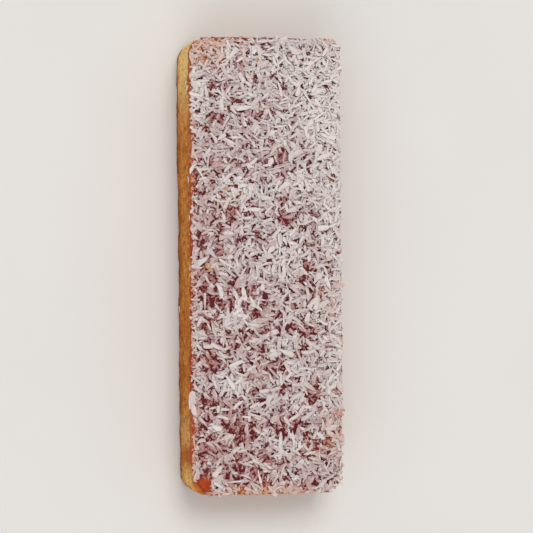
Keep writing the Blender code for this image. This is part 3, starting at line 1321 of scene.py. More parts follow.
@dataclass
class Bed:
    """Heights of what lies on the cake so far, on a square grid seen from above.

    Attributes:
        form: The slice's form.
        sheet: The jam that everything lies on.
        ceiling: Nothing reaches higher than this.
        clear_left: How far in from the left side the coconut keeps, below 0 where it may reach past.
        clear_blob: How far it keeps from the blob, as a share of the blob's radius.
        cell: Side of a grid cell.
        margin: How far the grid reaches past the slice.
        steepest: Slope that a piece may rest at, along and across itself.
        feelers: Half extents of the area where a piece finds support, as shares of its own size.
        probes: At how many places along a piece its support is looked for, and across it.
        arms: How far its supports are apart, as shares of its length and width.
        carried: Share of the places under it that lie lower than it does.
        high_end: How far from its middle its highest point is, as a share of its length.
        give: Over how much height pieces are eased under the ceiling.
        half: Half extents of the grid.
        flat: The grid's places, at height 0.
        jam: Height of the jam at each place.
        height: Height of what lies there so far.
        inside: Where the slice can carry coconut.
    """

    form: SliceForm
    sheet: JamSheet
    ceiling: float
    clear_left: float = -0.0002
    clear_blob: float = 0.85
    cell: float = 0.0002
    margin: float = 0.0012
    steepest: Pair = (0.36, 0.30)
    feelers: Pair = (0.45, 0.35)
    probes: tuple[int, int] = (7, 3)
    arms: Pair = (0.52, 0.70)
    carried: float = 0.80
    high_end: float = 0.4
    give: float = 0.00025
    half: Pair = field(init=False)
    flat: Array = field(init=False)
    jam: Array = field(init=False)
    height: Array = field(init=False)
    inside: Array = field(init=False)

    def __post_init__(self) -> None:
        """Fill the grid with the jam's surface."""
        self.half = (self.form.width / 2 + self.margin, self.form.length / 2 + self.margin)
        columns, rows = (int(2 * half / self.cell) + 1 for half in self.half)
        x = np.arange(columns) * self.cell - self.half[0]
        y = np.arange(rows) * self.cell - self.half[1]
        self.flat = np.stack(np.meshgrid(x, y, 0.0, indexing="ij"), axis=-1).reshape(-1, 3)
        self.jam = self.sheet.surface(self.flat).reshape(columns, rows)
        inside = self.form.depth_inside(self.flat) > 0.0
        inside &= self.flat[:, 0] > self.clear_left - self.form.width / 2
        from_blob = distance_from(self.flat, self.form.blob_clear)
        inside &= from_blob > self.form.blob_radius * self.clear_blob
        self.inside = inside.reshape(columns, rows)
        self.height = self.jam.copy()

    def index(self, x: Array | float, y: Array | float) -> tuple[Array, Array]:
        """Find places in the grid.

        Args:
            x: Across the slice.
            y: Along the slice.

        Returns:
            Their columns and rows, held at the grid's edges.
        """
        cells = (np.round((place + half) / self.cell) for place, half in zip((x, y), self.half))
        last = (length - 1 for length in self.height.shape)
        return tuple(np.clip(cell.astype(int), 0, end) for cell, end in zip(cells, last))

    def rest(
        self, x: float, y: float, yaw: float, size: Triple, sunk: float, held: float
    ) -> Laid | None:
        """Lay a piece on what is there, and raise the grid to its top.

        Args:
            x: Its middle across the slice.
            y: Its middle along the slice.
            yaw: Its direction.
            size: Its length, width and thickness.
            sunk: Share of its thickness that sinks in.
            held: Least share of it that has to be over the cake.

        Returns:
            Where it rests, or None where too little of it is over the cake, or it would lie too high.
        """
        length, width, thickness = size
        (far, wide), (many, few) = self.feelers, self.probes
        along = np.repeat(np.linspace(-far, far, many) * length, few)
        across = np.tile(np.linspace(-wide, wide, few) * width, many)
        cos, sin = math.cos(yaw), math.sin(yaw)
        at = self.index(x + along * cos - across * sin, y + along * sin + across * cos)
        over = self.inside[at]
        if over.mean() < held:
            return None
        heights, along, across = self.height[at][over], along[over], across[over]
        slope = self.rise(heights, along, self.arms[0] * length, self.steepest[0])
        tilt = self.rise(heights, across, self.arms[1] * width, self.steepest[1])
        lift = float(np.quantile(heights - slope * along - tilt * across, self.carried))
        place = Vector((x, y, lift + thickness * (0.5 - sunk)))
        if place.z + thickness / 2 + abs(slope) * length * self.high_end > self.ceiling:
            return None
        self.build_up(place, yaw, (slope, tilt), size)
        pitch = Matrix.Rotation(-math.atan(slope), 3, "Y")
        roll = Matrix.Rotation(math.atan(tilt), 3, "X")
        return Laid(place, Matrix.Rotation(yaw, 3, "Z") @ pitch @ roll, size)

    @staticmethod
    def rise(heights: Array, away: Array, span: float, steepest: float) -> float:
        """How steeply what lies under a piece rises one way.

        Args:
            heights: What lies under it.
            away: How far from its middle that is, one way.
            span: How far apart its supports are.
            steepest: The greatest slope it may have.

        Returns:
            The slope, 0 where there is support on one side only.
        """
        ahead, behind = heights[away > 0], heights[away < 0]
        if min(len(ahead), len(behind)) == 0:
            return 0.0
        return float(np.clip((ahead.mean() - behind.mean()) / span, -steepest, steepest))

    def build_up(self, place: Vector, yaw: float, slopes: Pair, size: Triple) -> None:
        """Raise the grid to the top of a piece.

        Args:
            place: The piece's middle.
            yaw: Its direction.
            slopes: How it rises along and across itself.
            size: Its length, width and thickness.
        """
        length, width, thickness = size
        reach = length / 2 + self.cell
        low = self.index(place.x - reach, place.y - reach)
        high = self.index(place.x + reach, place.y + reach)
        columns, rows = np.arange(low[0], high[0] + 1), np.arange(low[1], high[1] + 1)
        away_x = (columns * self.cell - self.half[0] - place.x)[:, None]
        away_y = (rows * self.cell - self.half[1] - place.y)[None, :]
        cos, sin = math.cos(yaw), math.sin(yaw)
        along = away_x * cos + away_y * sin
        across = away_y * cos - away_x * sin
        share = (2 * along / length) ** 2 + (2 * across / width) ** 2
        top = place.z + slopes[0] * along + slopes[1] * across + thickness / 2
        window = np.ix_(columns, rows)
        before = self.height[window]
        self.height[window] = np.where(share < 1.0, np.maximum(before, top), before)

    def piled(self, x: float, y: float) -> float:
        """How high the coconut lies at a place already."""
        at = self.index(x, y)
        return float(self.height[at] - self.jam[at])

    def held_down(self, z: Array) -> Array:
        """Heights eased under the ceiling, over the last stretch below it."""
        over = np.maximum(z - (self.ceiling - self.give), 0.0)
        return z - over + self.give * (1.0 - np.exp(-over / self.give))


@dataclass(frozen=True)
class Slivers:
    """The shape of a piece of coconut: bowed, troughed, twisted, ragged and torn at its tips.

    Attributes:
        span: How far the outer cross-sections are from the middle, as a share of half the length.
        blunt: Least and greatest exponent of the taper at a tip.
        ragged: Least and greatest width of a cross-section.
        uneven: How far its points stray sideways, as a share of the half width.
        flat_edge: Cosine beyond which a cross-section's point lies on the piece's thin edge.
        thinning: How thick a piece is at its tips, and how much thicker in its middle.
        bow: Strength of the sideways bow, and its limit, as shares of the length.
        curl: Mean and spread of the upward curl.
        curl_rise: Height of a curl of 1, for a piece of the second length.
        trough: Mean and spread of the trough along it, as shares of the width.
        twist: Spread of the twist from middle to tip, in radians.
        stray: How far its points stray lengthwise, as a share of the width.
        tip: How far a tip may lie to the side, as a share of the width.
    """

    span: float = 0.88
    blunt: Pair = (0.05, 0.60)
    ragged: Pair = (0.74, 1.12)
    uneven: float = 0.14
    flat_edge: float = 0.9
    thinning: Pair = (0.55, 0.45)
    bow: Pair = (0.025, 0.12)
    curl: Pair = (0.12, 0.25)
    curl_rise: Pair = (0.0004, 0.004)
    trough: Pair = (0.06, 0.16)
    twist: float = 0.25
    stray: float = 0.05
    tip: float = 0.42

    def points(self, sizes: CutSizes, laid: list[Laid], draw: Draws) -> Array:
        """Vertices of many slivers where they rest.

        Args:
            sizes: Of their sort.
            laid: Where each rests.
            draw: The random draws.

        Returns:
            One block of rows for each sliver: its cross-sections, then its two tips.
        """
        count, stations, sides = len(laid), sizes.stations, sizes.sides
        each, ring = (count, 1, 1), (count, stations, sides)
        size = np.array([one.size for one in laid])
        length, width, thickness = (size[:, axis, None, None] for axis in range(3))
        along = np.linspace(-self.span, self.span, stations)[None, :, None]
        blunt = draw.uniform(*self.blunt, (2, *each))
        taper = (1.0 - along) ** blunt[0] * (1.0 + along) ** blunt[1]
        ragged = draw.uniform(*self.ragged, (count, stations, 1))
        angles = math.tau * np.arange(sides)[None, None, :] / sides
        across = np.cos(angles) * taper * ragged * (1.0 + draw.uniform(-self.uneven, self.uneven, ring))
        edge = np.where(np.abs(np.cos(angles)) > self.flat_edge, 0.0, 1.0)
        up = np.sin(angles) * edge * (self.thinning[0] + self.thinning[1] * taper)
        strength, limit = self.bow
        bow = np.clip(draw.normal(0.0, 1.0, each) ** 3 * strength, -limit, limit) * length
        rise, usual = self.curl_rise
        curl = draw.normal(*self.curl, each) * rise * (length / usual)
        trough = draw.normal(*self.trough, each) * width
        twist = draw.normal(0.0, self.twist, each) * along
        y = across * width / 2
        z = up * thickness / 2 + trough * across**2 * 0.5
        y, z = y * np.cos(twist) - z * np.sin(twist), y * np.sin(twist) + z * np.cos(twist)
        x = np.broadcast_to(along * length / 2, y.shape)
        x = x + draw.uniform(-self.stray, self.stray, y.shape) * width
        y = y + bow * (1.0 - along**2)
        z = z + curl * along**2
        body = np.stack([x, y, z], axis=-1).reshape(count, stations * sides, 3)
        tips = np.zeros((count, 2, 3))
        tips[:, 0, 0], tips[:, 1, 0] = -size[:, 0] / 2, size[:, 0] / 2
        tips[:, :, 1] = draw.uniform(-self.tip, self.tip, (count, 2)) * size[:, 1:2]
        tips[:, :, 2] = curl[:, :, 0]
        local = np.concatenate([body, tips], axis=1)
        turns = np.array([np.array(one.turn) for one in laid])
        places = np.array([np.array(one.place) for one in laid])
        return np.einsum("nij,nkj->nki", turns, local) + places[:, None, :]

    @staticmethod
    def faces(sizes: CutSizes, count: int) -> list[list[int]]:
        """Faces of slivers: quads between the cross-sections and triangles at the tips.

        Args:
            sizes: Of their sort.
            count: How many there are.

        Returns:
            The corners of each face.
        """
        stations, sides = sizes.stations, sizes.sides
        ring = np.arange(sides)
        after = (ring + 1) % sides
        first, last = stations * sides, stations * sides + 1
        end = (stations - 1) * sides
        near = np.stack([np.full(sides, first), after, ring], axis=-1)
        far = np.stack([np.full(sides, last), end + ring, end + after], axis=-1)
        caps = np.concatenate([near, far])
        step = (np.arange(count) * (stations * sides + 2))[:, None, None]
        faces = (loft_faces(stations, sides)[None] + step).reshape(-1, 4).tolist()
        return faces + (caps[None] + step).reshape(-1, 3).tolist()


@dataclass
class Coconut:
    """The cover of desiccated coconut: flakes, shreds and fine bits laid one on another.

    Attributes:
        bed: What they are laid on.
        seed: Of every random draw.
        slivers: The shape of a piece.
        cover_middle: How likely a piece is to stay in the middle of the top.
        cover_slope: How much likelier at the far end, at the right side, and at both together.
        patch: Length and strength of the thick and thin patches.
        clump: The same for small clumps.
        cover_limits: Least and greatest cover, before the blob, the bare corner and the seam.
        thick: Where the coconut lies thickest.
        sparse: Where the jam shows most.
        blob_edge: Where the cover ends round the blob, as a share of its radius, and how softly.
        torn_edge: Where it ends round the bare corner, as a share of the tear's reach, and how softly.
        seam_edge: Where it ends along the seam, as a share of the seam's extents, and how softly.
        seam_cover: How much of the cover is left along the seam.
        thin_cover: Up to this cover a place stays bare, whatever the sort.
        pile: Above this height few more are laid.
        crowding: At which share of that height pieces start to be refused, and how many are.
        stain_height: Up to this height over the jam it stains them.
        stain: How strongly it does.
        soak_middle: How much jam the pieces in the middle have soaked up.
        soak_slope: How much less at the far end and at the right side.
        soak_patches: Length and strength of the soaked patches, and where the noise is read for them.
        soak_spots: Where much jam has been soaked up.
        soak_chance: How much one piece differs from the next, and the usual share of that.
        dry: How much less they have soaked up, and how much whiter they are, where they lie thickest.
        roll: How far a fine bit may roll before it settles.
        tries: Of how many places it takes the lowest.
        overhang: How far past the plain outline pieces are dropped.
        held: Least share of a piece that has to be over the cake, in the left band and elsewhere.
        sunk: Share of its thickness that sinks in where the jam is bare, and elsewhere.
        bare_height: Below this height the jam counts as bare.
        seam_bare: Width of the bare strip along the jam's seam.
        left_band: Width of the band at the left side where little may stick out over the rim.
        left_bare: Share of the pieces that fell off the left rim.
        seam_fallen: Share of them that fell off the seam besides.
        least_bend: Cosine of the sharpest bend of the outline that a piece can cling to.
        rim_share: Share of the pieces that are dropped close to the rim.
        rim_band: How far in from the rim those lie.
        fallen: Share of the clinging pieces that are on the crumb, not on the jam's rim.
        cling_angle: Spread of the angles over the horizontal of clinging pieces, and of white bits.
        cling_span: Least and greatest height on the rim, and on the crumb, as shares of theirs.
        cling_out: How far out from the sponge a piece clings, as a share of the rim's distance.
        on_side: White bits that cling to the left side: along, height and length of each.
        side_bit: Their width, as a share of their length, and their thickness.
        on_rim: White chips that lie on the rim: across, along, direction, length and width of each.
        rim_chip: Their thickness, how deep they sink, and the least share over the cake.
    """

    bed: Bed
    seed: int = 19
    slivers: Slivers = field(default_factory=Slivers)
    cover_middle: float = 0.82
    cover_slope: Triple = (0.16, 0.14, 0.14)
    patch: Pair = (0.0085, 0.14)
    clump: Pair = (0.0036, 0.58)
    cover_limits: Pair = (0.3, 1.3)
    thick: tuple[Patch, ...] = patches(
        (-0.0080, 0.0220, 0.0070, 0.0050, 0.80), (0.0110, 0.0240, 0.0050, 0.0050, 0.80),
        (0.0050, 0.0050, 0.0045, 0.0075, 0.80), (0.0150, 0.0460, 0.0090, 0.0180, 0.70),
        (0.0060, 0.0560, 0.0080, 0.0055, 0.52), (0.0030, 0.0380, 0.0050, 0.0045, 0.39),
        (-0.0095, -0.0140, 0.0055, 0.0045, 0.52), (-0.0100, -0.0310, 0.0050, 0.0060, 0.52),
        (0.0100, -0.0285, 0.0045, 0.0040, 0.39), (0.0055, -0.0495, 0.0065, 0.0040, 0.59),
        (-0.0185, 0.0450, 0.0045, 0.0055, 0.45), (-0.0150, 0.0570, 0.0090, 0.0080, 0.50),
        (-0.0070, 0.0600, 0.0085, 0.0045, 0.60), (0.0190, -0.0050, 0.0048, 0.0420, 0.40),
        (0.0180, 0.0400, 0.0060, 0.0260, 0.50),
    )
    sparse: tuple[Patch, ...] = patches(
        (-0.0155, -0.0120, 0.0048, 0.0042, 0.80), (-0.0070, -0.0455, 0.0060, 0.0045, 0.74),
        (-0.0085, -0.0560, 0.0045, 0.0042, 0.62), (-0.0180, -0.0280, 0.0060, 0.0034, 0.50),
        (-0.0160, -0.0360, 0.0050, 0.0036, 0.54), (-0.0175, -0.0500, 0.0048, 0.0048, 0.38),
        (0.0020, -0.0280, 0.0048, 0.0038, 0.62), (0.0070, -0.0330, 0.0038, 0.0034, 0.46),
        (-0.0065, -0.0195, 0.0042, 0.0034, 0.46), (0.0080, -0.0160, 0.0045, 0.0042, 0.42),
        (0.0050, -0.0450, 0.0048, 0.0034, 0.46), (-0.0100, 0.0460, 0.0052, 0.0060, 0.14),
        (-0.0130, 0.0105, 0.0048, 0.0038, 0.42), (0.0055, 0.0270, 0.0048, 0.0052, 0.42),
        (0.0160, -0.0075, 0.0038, 0.0034, 0.50), (0.0145, -0.0370, 0.0045, 0.0050, 0.38),
        (0.0120, -0.0505, 0.0055, 0.0042, 0.42), (-0.0198, 0.0065, 0.0030, 0.0032, 0.45),
        (-0.0198, -0.0325, 0.0034, 0.0036, 0.50), (-0.0185, -0.0340, 0.0048, 0.0300, 0.36),
        (-0.0185, 0.0245, 0.0042, 0.0070, 0.36),
    )
    blob_edge: Pair = (0.90, 0.0009)
    torn_edge: Pair = (0.42, 0.0010)
    seam_edge: Pair = (0.7, 0.6)
    seam_cover: float = 0.4
    thin_cover: float = 0.2
    pile: float = 0.0007
    crowding: Pair = (0.5, 0.85)
    stain_height: float = 0.00070
    stain: float = 0.7
    soak_middle: float = 0.17
    soak_slope: Pair = (0.09, 0.07)
    soak_patches: tuple[Triple, ...] = ((0.0110, 0.12, 72.0), (0.0040, 0.34, 65.0))
    soak_spots: tuple[Patch, ...] = patches(
        (-0.0150, 0.0600, 0.0140, 0.0090, 0.46), (0.0180, 0.0610, 0.0060, 0.0045, 0.15),
        (0.0190, -0.0140, 0.0050, 0.0120, 0.25), (0.0195, -0.0450, 0.0050, 0.0170, 0.25),
        (0.0000, -0.0622, 0.0190, 0.0036, 0.22),
    )
    soak_chance: Pair = (0.48, 0.33)
    dry: Pair = (0.45, 0.60)
    roll: float = 0.0007
    tries: int = 4
    overhang: float = 0.0004
    held: Pair = (0.76, 0.70)
    sunk: Pair = (0.45, 0.15)
    bare_height: float = 0.0001
    seam_bare: float = 0.0006
    left_band: float = 0.0030
    left_bare: float = 0.96
    seam_fallen: float = 0.3
    least_bend: float = 0.90
    rim_share: float = 0.11
    rim_band: Pair = (-0.0003, 0.0013)
    fallen: float = 0.08
    cling_angle: Pair = (0.7, 0.6)
    cling_span: tuple[Pair, Pair] = ((0.15, 0.95), (0.1, 0.95))
    cling_out: float = 0.9
    on_side: tuple[Triple, ...] = (
        (-0.0123, 0.0030, 0.0024), (0.0530, 0.0180, 0.0026), (0.0512, 0.0160, 0.0019),
    )
    side_bit: Pair = (0.45, 0.0004)
    on_rim: tuple[tuple[float, float, float, float, float], ...] = (
        (-0.0214, -0.0366, 1.53, 0.0052, 0.0022), (-0.0209, -0.0392, 1.85, 0.0034, 0.0017),
    )
    rim_chip: Triple = (0.00045, 0.1, 0.25)

    def cover(self, places: Array) -> Array:
        """How likely coconut is to stay: more so far right, less so near left, and by patches.

        Args:
            places: Where, one row of three each.

        Returns:
            A chance for each place.
        """
        form = self.bed.form
        along, across = places[:, 1] / (form.length / 2), places[:, 0] / (form.width / 2)
        chance = self.cover_middle + self.cover_slope[0] * along + self.cover_slope[1] * across
        chance += self.cover_slope[2] * along * across
        chance += self.patch[1] * waves(places, self.patch[0], PATCH_SHIFT)
        chance += self.clump[1] * waves(places, self.clump[0], CLUMP_SHIFT)
        chance += total_share(self.thick, places)
        chance -= total_share(self.sparse, places)
        chance = np.clip(chance, *self.cover_limits)
        for place, reach, (share, soft) in (
            (form.blob_clear, form.blob_radius, self.blob_edge),
            (form.bare_corner, form.bare_reach, self.torn_edge),
        ):
            chance *= smooth_step((distance_from(places, place) - reach * share) / soft)
        middle, half = self.bed.sheet.seam
        seam = np.abs(places[:, 1] - middle) / half
        from_seam = np.maximum(seam, (places[:, 0] + form.width / 2) / self.seam_bare)
        near, soft = self.seam_edge
        left = self.seam_cover + (1.0 - self.seam_cover) * smooth_step((from_seam - near) / soft)
        return chance * left

    def lay(self, draw: Draws) -> dict[Cut, list[Laid]]:
        """Drop every piece in a mixed order, each on what lies there.

        Args:
            draw: The random draws.

        Returns:
            The pieces that stayed, by sort.
        """
        bed, form = self.bed, self.bed.form
        order = [cut for cut in Cut for _ in range(cut.value.count)]
        draw.shuffle(order)
        laid: dict[Cut, list[Laid]] = {cut: [] for cut in Cut}
        half_x, half_y = form.width / 2 + self.overhang, form.length / 2 + self.overhang
        outline, normals = form.outline(bed.sheet.spacing)
        cover = self.cover(bed.flat).reshape(bed.height.shape)
        by_left = self.left_band - form.width / 2
        early, refused = self.crowding
        for cut in order:
            size = cut.value.draw(draw)
            x, y = float(draw.uniform(-half_x, half_x)), float(draw.uniform(-half_y, half_y))
            if draw.random() < self.rim_share:
                at = int(draw.integers(len(outline)))
                x, y, _ = (outline[at] - normals[at] * float(draw.uniform(*self.rim_band))).tolist()
            yaw, chance = float(draw.uniform(0.0, math.pi)), float(draw.random())
            if cut is Cut.FINE:
                x, y = self.settled(x, y, draw)
            piled = bed.piled(x, y)
            likely = float(cover[bed.index(x, y)])
            likely = max(likely, cut.value.least * (likely > self.thin_cover))
            crowded = smooth_step((piled - self.pile * early * likely) / self.pile)
            if chance > likely * (1.0 - refused * crowded):
                continue
            held = self.held[0] if x < by_left else self.held[1]
            sunk = self.sunk[0] if piled < self.bare_height else self.sunk[1]
            found = bed.rest(x, y, yaw, size, sunk, held)
            if found is not None:
                laid[cut].append(found)
        thickness, sunk, held = self.rim_chip
        for x, y, yaw, length, width in self.on_rim:
            chip = bed.rest(x, y, yaw, (length, width, thickness), sunk, held)
            if chip is not None:
                chip.dry = True
                laid[Cut.FLAKE].append(chip)
        covered = (bed.height > bed.jam).mean(where=bed.inside)
        LOG.info("coconut covers %.0f %% of the top", 100 * covered)
        return laid

    def settled(self, x: float, y: float, draw: Draws) -> Pair:
        """Let a fine bit settle at the lowest of a few places close by.

        Args:
            x: Where it is across the slice.
            y: Where it is along the slice.
            draw: The random draws.

        Returns:
            Where it comes to rest.
        """
        near = np.array([[x, y]]) + draw.uniform(-self.roll, self.roll, (self.tries, 2))
        low = int(np.argmin(self.bed.height[self.bed.index(near[:, 0], near[:, 1])]))
        return float(near[low, 0]), float(near[low, 1])

    def cling(self, draw: Draws) -> dict[Cut, list[Laid]]:
        """Press pieces against the jam's rim, and a few against the crumb below it.

        Args:
            draw: The random draws.

        Returns:
            The pieces that cling, by sort.
        """
        sheet, form = self.bed.sheet, self.bed.form
        outline, normals = form.outline(sheet.spacing)
        bare = self.left_bare * sheet.on_left(outline) + self.seam_fallen * sheet.seam_share(outline)
        bare = bare + form.tear(outline) / form.bare_depth
        clinging: dict[Cut, list[Laid]] = {cut: [] for cut in Cut}
        on_jam, on_sponge = self.cling_span
        for cut in Cut:
            for _ in range(cut.value.clinging):
                size = cut.value.draw(draw)
                at = int(draw.integers(len(outline)))
                fallen = draw.random() < self.fallen
                angle = float(draw.normal(0.0, self.cling_angle[0]))
                share, lower = float(draw.uniform(*on_jam)), float(draw.uniform(*on_sponge))
                reach = round(size[0] / 2 / sheet.spacing)
                bend = float(normals[at - reach] @ normals[(at + reach) % len(normals)])
                if draw.random() < bare[at] or bend < self.least_bend:
                    continue
                point, normal = outline[at : at + 1], normals[at : at + 1]
                if fallen:
                    place = self.on_crumb(point, normal, form.sponge_top * lower)
                else:
                    up, out = np.array([share]), np.array([self.cling_out])
                    place = sheet.rim_place(point, normal, up, out)[0]
                clinging[cut].append(self.pressed(place, normal[0], angle, size))
        narrow, thickness = self.side_bit
        for along, height, length in self.on_side:
            at = int(np.argmin(np.abs(outline[:, 1] - along) + (outline[:, 0] > 0)))
            point, normal = outline[at : at + 1], normals[at : at + 1]
            place = self.on_crumb(point, normal, height)
            angle = float(draw.normal(0.0, self.cling_angle[1]))
            bit = self.pressed(place, normal[0], angle, (length, length * narrow, thickness))
            bit.dry = True
            clinging[Cut.SHRED].append(bit)
        return clinging

    def on_crumb(self, point: Array, normal: Array, height: float) -> Array:
        """Find a place on the cut side.

        Args:
            point: A point of the outline, as one row.
            normal: Its outward normal, as one row.
            height: Over the floor.

        Returns:
            The place.
        """
        raised = point.copy()
        raised[:, 2] = height
        return (raised + normal * self.bed.form.side_offset(raised)[:, None])[0]

    @staticmethod
    def pressed(place: Array, normal: Array, angle: float, size: Triple) -> Laid:
        """Turn a piece flat against a side.

        Args:
            place: Where it touches.
            normal: The side's outward normal.
            angle: Of its length over the horizontal.
            size: Its length, width and thickness.

        Returns:
            The piece as it clings.
        """
        out = Vector(normal)
        tangent = Vector((-out.y, out.x, 0.0))
        ahead = tangent * math.cos(angle) + Vector((0.0, 0.0, math.sin(angle)))
        turn = Matrix((ahead, out.cross(ahead), out)).transposed()
        return Laid(Vector(place) + out * size[2] * PRESSED_IN, turn, size)

    def soaked(self, pieces: list[Laid], draw: Draws) -> Array:
        """How much jam each piece has soaked up, by patches and by chance.

        Args:
            pieces: The pieces.
            draw: The random draws.

        Returns:
            A share for each piece, below 0 where it stayed dry.
        """
        places = np.array([tuple(piece.place) for piece in pieces])
        places[:, 2] = 0.0
        form = self.bed.form
        along, across = places[:, 1] / (form.length / 2), places[:, 0] / (form.width / 2)
        wet = self.soak_middle - self.soak_slope[0] * along - self.soak_slope[1] * across
        for length, strength, shift in self.soak_patches:
            wet = wet + strength * waves(places, length, shift)
        wet = wet + total_share(self.soak_spots, places)
        wet = wet - self.dry[0] * total_share(self.thick, places)
        differs, usual = self.soak_chance
        wet = wet + differs * (draw.random(len(pieces)) ** 2.0 - usual)
        return np.where([piece.dry for piece in pieces], -1.0, wet)

    def build(self, finish: CoconutFinish) -> list[bpy.types.Object]:
        """Lay the coconut and build one object for each sort.

        Args:
            finish: How the coconut looks.

        Returns:
            The objects.
        """
        bed, material = self.bed, finish.material()
        draw = np.random.default_rng(self.seed)
        laid, clinging = self.lay(draw), self.cling(draw)
        made = []
        for cut in Cut:
            pieces = laid[cut] + clinging[cut]
            points = self.slivers.points(cut.value, pieces, draw)
            each = points.shape[1]
            flat = points.reshape(-1, 3)
            flat[:, 2] = bed.held_down(flat[:, 2])
            over = flat[:, 2] - bed.jam[bed.index(flat[:, 0], flat[:, 1])]
            touching = smooth_step(1.0 - np.abs(over) / self.stain_height)
            soaked = np.repeat(self.soaked(pieces, draw), each)
            whiter = self.dry[1] * total_share(self.thick, flat)
            tone = np.repeat(draw.random(len(pieces)), each) + whiter
            marks = {
                "stain": np.clip(touching * self.stain + soaked, 0.0, 1.0),
                "tone": np.clip(tone, 0.0, 1.2),
                "warm": bed.sheet.thinness(flat),
            }
            faces = self.slivers.faces(cut.value, len(pieces))
            piece = mesh_piece(cut.value.name, flat, faces, material, marks, SHARP_EDGE)
            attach(piece, ROOT)
            made.append(piece)
            LOG.info("%s: %d pieces", piece.name, len(pieces))
        return made


# ---- Crumbs ----


@dataclass
class Crumbs:
    """Specks of sponge that lie on the coconut.

    Attributes:
        bed: What they lie on.
        seed: Of every random draw.
        known: The specks that are known: place from above and size.
        others: How many more there are.
        size: Least and greatest width of those.
        strewn: How far from the middle those may lie, as shares of the slice's width and length.
        extents: Half extents of a speck, as shares of its width.
        lumps: Height and length of its lumps, as shares of its radius.
        lift: How high its middle lies over what is under it, as a share of its width.
        shifts: Over how much of the noise the specks' shapes are spread.
    """

    bed: Bed
    seed: int = 5
    known: tuple[Triple, ...] = (
        (-0.0168, 0.0003, 0.0017), (-0.0157, -0.0006, 0.0010), (-0.0115, 0.0215, 0.0010),
    )
    others: int = 9
    size: Pair = (0.0004, 0.0009)
    strewn: Pair = (0.46, 0.48)
    extents: Triple = (0.5, 0.42, 0.34)
    lumps: tuple[Pair, ...] = ((0.45, 0.8), (0.2, 0.35))
    lift: float = 0.18
    shifts: float = 90.0

    def build(self, finish: CrumbFinish) -> bpy.types.Object:
        """Build every speck as one object.

        Args:
            finish: How crumb looks.

        Returns:
            The object.
        """
        draw = np.random.default_rng(self.seed)
        bed, form = self.bed, self.bed.form
        far_x, far_y = self.strewn
        specks = list(self.known)
        for _ in range(self.others):
            x = float(draw.uniform(-far_x, far_x)) * form.width
            y = float(draw.uniform(-far_y, far_y)) * form.length
            specks.append((x, y, float(draw.uniform(*self.size))))
        ball, ball_faces = self.ball()
        points, faces = [], []
        for x, y, size in specks:
            start = len(points) * len(ball)
            shift = float(draw.uniform(0.0, self.shifts))
            swollen = 1.0
            for height, length in self.lumps:
                swollen = swollen + height * waves(ball, length, shift)
            shape = ball * swollen[:, None] * np.array(self.extents) * size
            turn = np.array(Matrix.Rotation(float(draw.uniform(0.0, math.tau)), 3, "Z"))
            placed = shape @ turn.T + np.array([x, y, bed.height[bed.index(x, y)] + self.lift * size])
            placed[:, 2] = bed.held_down(placed[:, 2])
            points.append(placed)
            faces += [[corner + start for corner in face] for face in ball_faces]
        piece = mesh_piece("sponge_specks", np.concatenate(points), faces, finish.speck_material())
        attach(piece, ROOT)
        return piece

    @staticmethod
    def ball() -> tuple[Array, list[list[int]]]:
        """Make a plain ball of radius 1.

        Returns:
            Its vertices and faces.
        """
        shape = bmesh.new()
        bmesh.ops.create_icosphere(shape, subdivisions=3, radius=1.0)
        points = np.array([vertex.co[:] for vertex in shape.verts])
        faces = [[vertex.index for vertex in face.verts] for face in shape.faces]
        shape.free()
        return points, faces


# ---- Studio ----


@dataclass(frozen=True)
class Lamp:
    """A wide soft light that falls evenly on the whole floor.

    Attributes:
        name: The light's name.
        come_from: The direction that it comes from.
        angle: How wide it is seen from the slice, in radians.
        strength: In watts on a square metre.
    """

    name: str
    come_from: Triple
    angle: float
    strength: float

    def hang(self) -> None:
        """Put it in the scene."""
        data = bpy.data.lights.new(self.name, "SUN")
        data.angle = self.angle
        data.energy = self.strength
        lamp = bpy.data.objects.new(self.name, data)
        lamp.location = self.come_from
        lamp.rotation_euler = (-Vector(self.come_from)).to_track_quat("-Z", "Y").to_euler()
        bpy.context.scene.collection.objects.link(lamp)


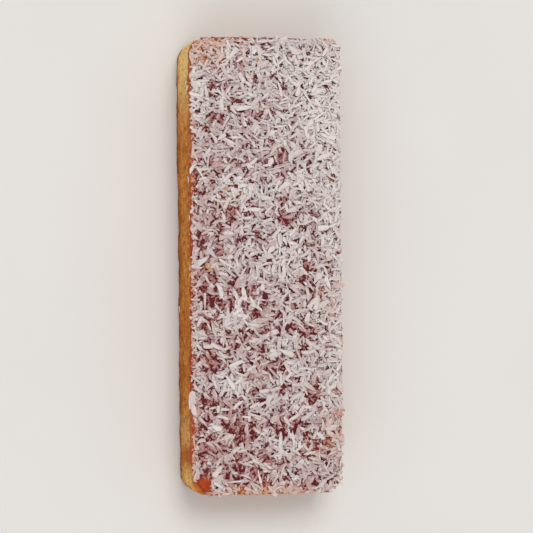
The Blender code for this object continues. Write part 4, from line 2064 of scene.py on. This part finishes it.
@dataclass
class Studio:
    """Pale floor, soft light and the camera.

    Attributes:
        form: The slice's form.
        tilt: How far off the vertical the camera looks, towards the slice's left side.
        roll: How far the slice lies turned anticlockwise in the picture.
        distance: From the camera to the slice's top.
        framed: Height of the picture at the slice, in metres.
        sensor: The camera's sensor, square, in millimetres.
        floor_size: Side of the floor.
        lamps: The lights.
        sky: Colour and strength of the light from all round.
    """

    form: SliceForm
    tilt: float = math.radians(13.3)
    roll: float = math.radians(0.45)
    distance: float = 0.52
    framed: float = 0.148
    sensor: float = 36.0
    floor_size: float = 8.0
    lamps: tuple[Lamp, ...] = (
        Lamp("key", (0.02, 0.50, 1.00), 0.47, 1.22),
        Lamp("fill", (-0.30, -0.80, 0.80), 0.85, 0.72),
    )
    sky: tuple[Colour, float] = ((1.0, 0.995, 0.985, 1.0), 0.52)

    def build(self, floor: FloorFinish) -> None:
        """Make the floor, the lights and the camera.

        Args:
            floor: How the floor looks.
        """
        half = self.floor_size / 2
        sides = ((-half, -half), (half, -half), (half, half), (-half, half))
        corners = np.array([(x, y, 0.0) for x, y in sides])
        table = mesh_piece("floor", corners, [[0, 1, 2, 3]], floor.material())
        table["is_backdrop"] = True
        for lamp in self.lamps:
            lamp.hang()
        world = bpy.data.worlds.new("studio")
        world.use_nodes = True
        backdrop = world.node_tree.nodes["Background"]
        for name, value in zip(("Color", "Strength"), self.sky):
            backdrop.inputs[name].default_value = value
        bpy.context.scene.world = world
        bpy.context.scene.view_settings.view_transform = "Standard"
        self.camera()

    def camera(self) -> None:
        """Look down on the slice as the photograph does, with the slice's length upright."""
        data = bpy.data.cameras.new("camera")
        data.sensor_width = self.sensor
        data.lens = self.sensor * self.distance / self.framed
        eye = bpy.data.objects.new("camera", data)
        top = self.form.sponge_top + self.form.jam_gap + self.form.jam_thickness
        back = Vector((-math.sin(self.tilt), 0.0, math.cos(self.tilt)))
        right = Vector((math.sin(self.roll), math.cos(self.roll), 0.0)).cross(back).normalized()
        turn = Matrix((right, back.cross(right), back)).transposed().to_4x4()
        eye.matrix_world = Matrix.Translation(Vector((0.0, 0.0, top)) + back * self.distance) @ turn
        bpy.context.scene.collection.objects.link(eye)
        bpy.context.scene.camera = eye


def main() -> None:
    """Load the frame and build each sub-assembly."""
    logging.basicConfig(level=logging.INFO, format="%(message)s")
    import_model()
    solid_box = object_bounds()
    form = SliceForm(sponge_top=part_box("sponge")[1].z)
    crumb, sheet = CrumbFinish(), JamSheet(form)
    pieces = [Sponge(form).build(crumb), sheet.build(JamFinish())]
    bed = Bed(form, sheet, solid_box[1].z * STANDING_PROUD)
    pieces += Coconut(bed).build(CoconutFinish())
    pieces.append(Crumbs(bed).build(crumb))
    for piece in pieces:
        LOG.info("%s: %d faces", piece.name, len(piece.data.polygons))
    Studio(form).build(FloorFinish())


if __name__ == "__main__":
    main()
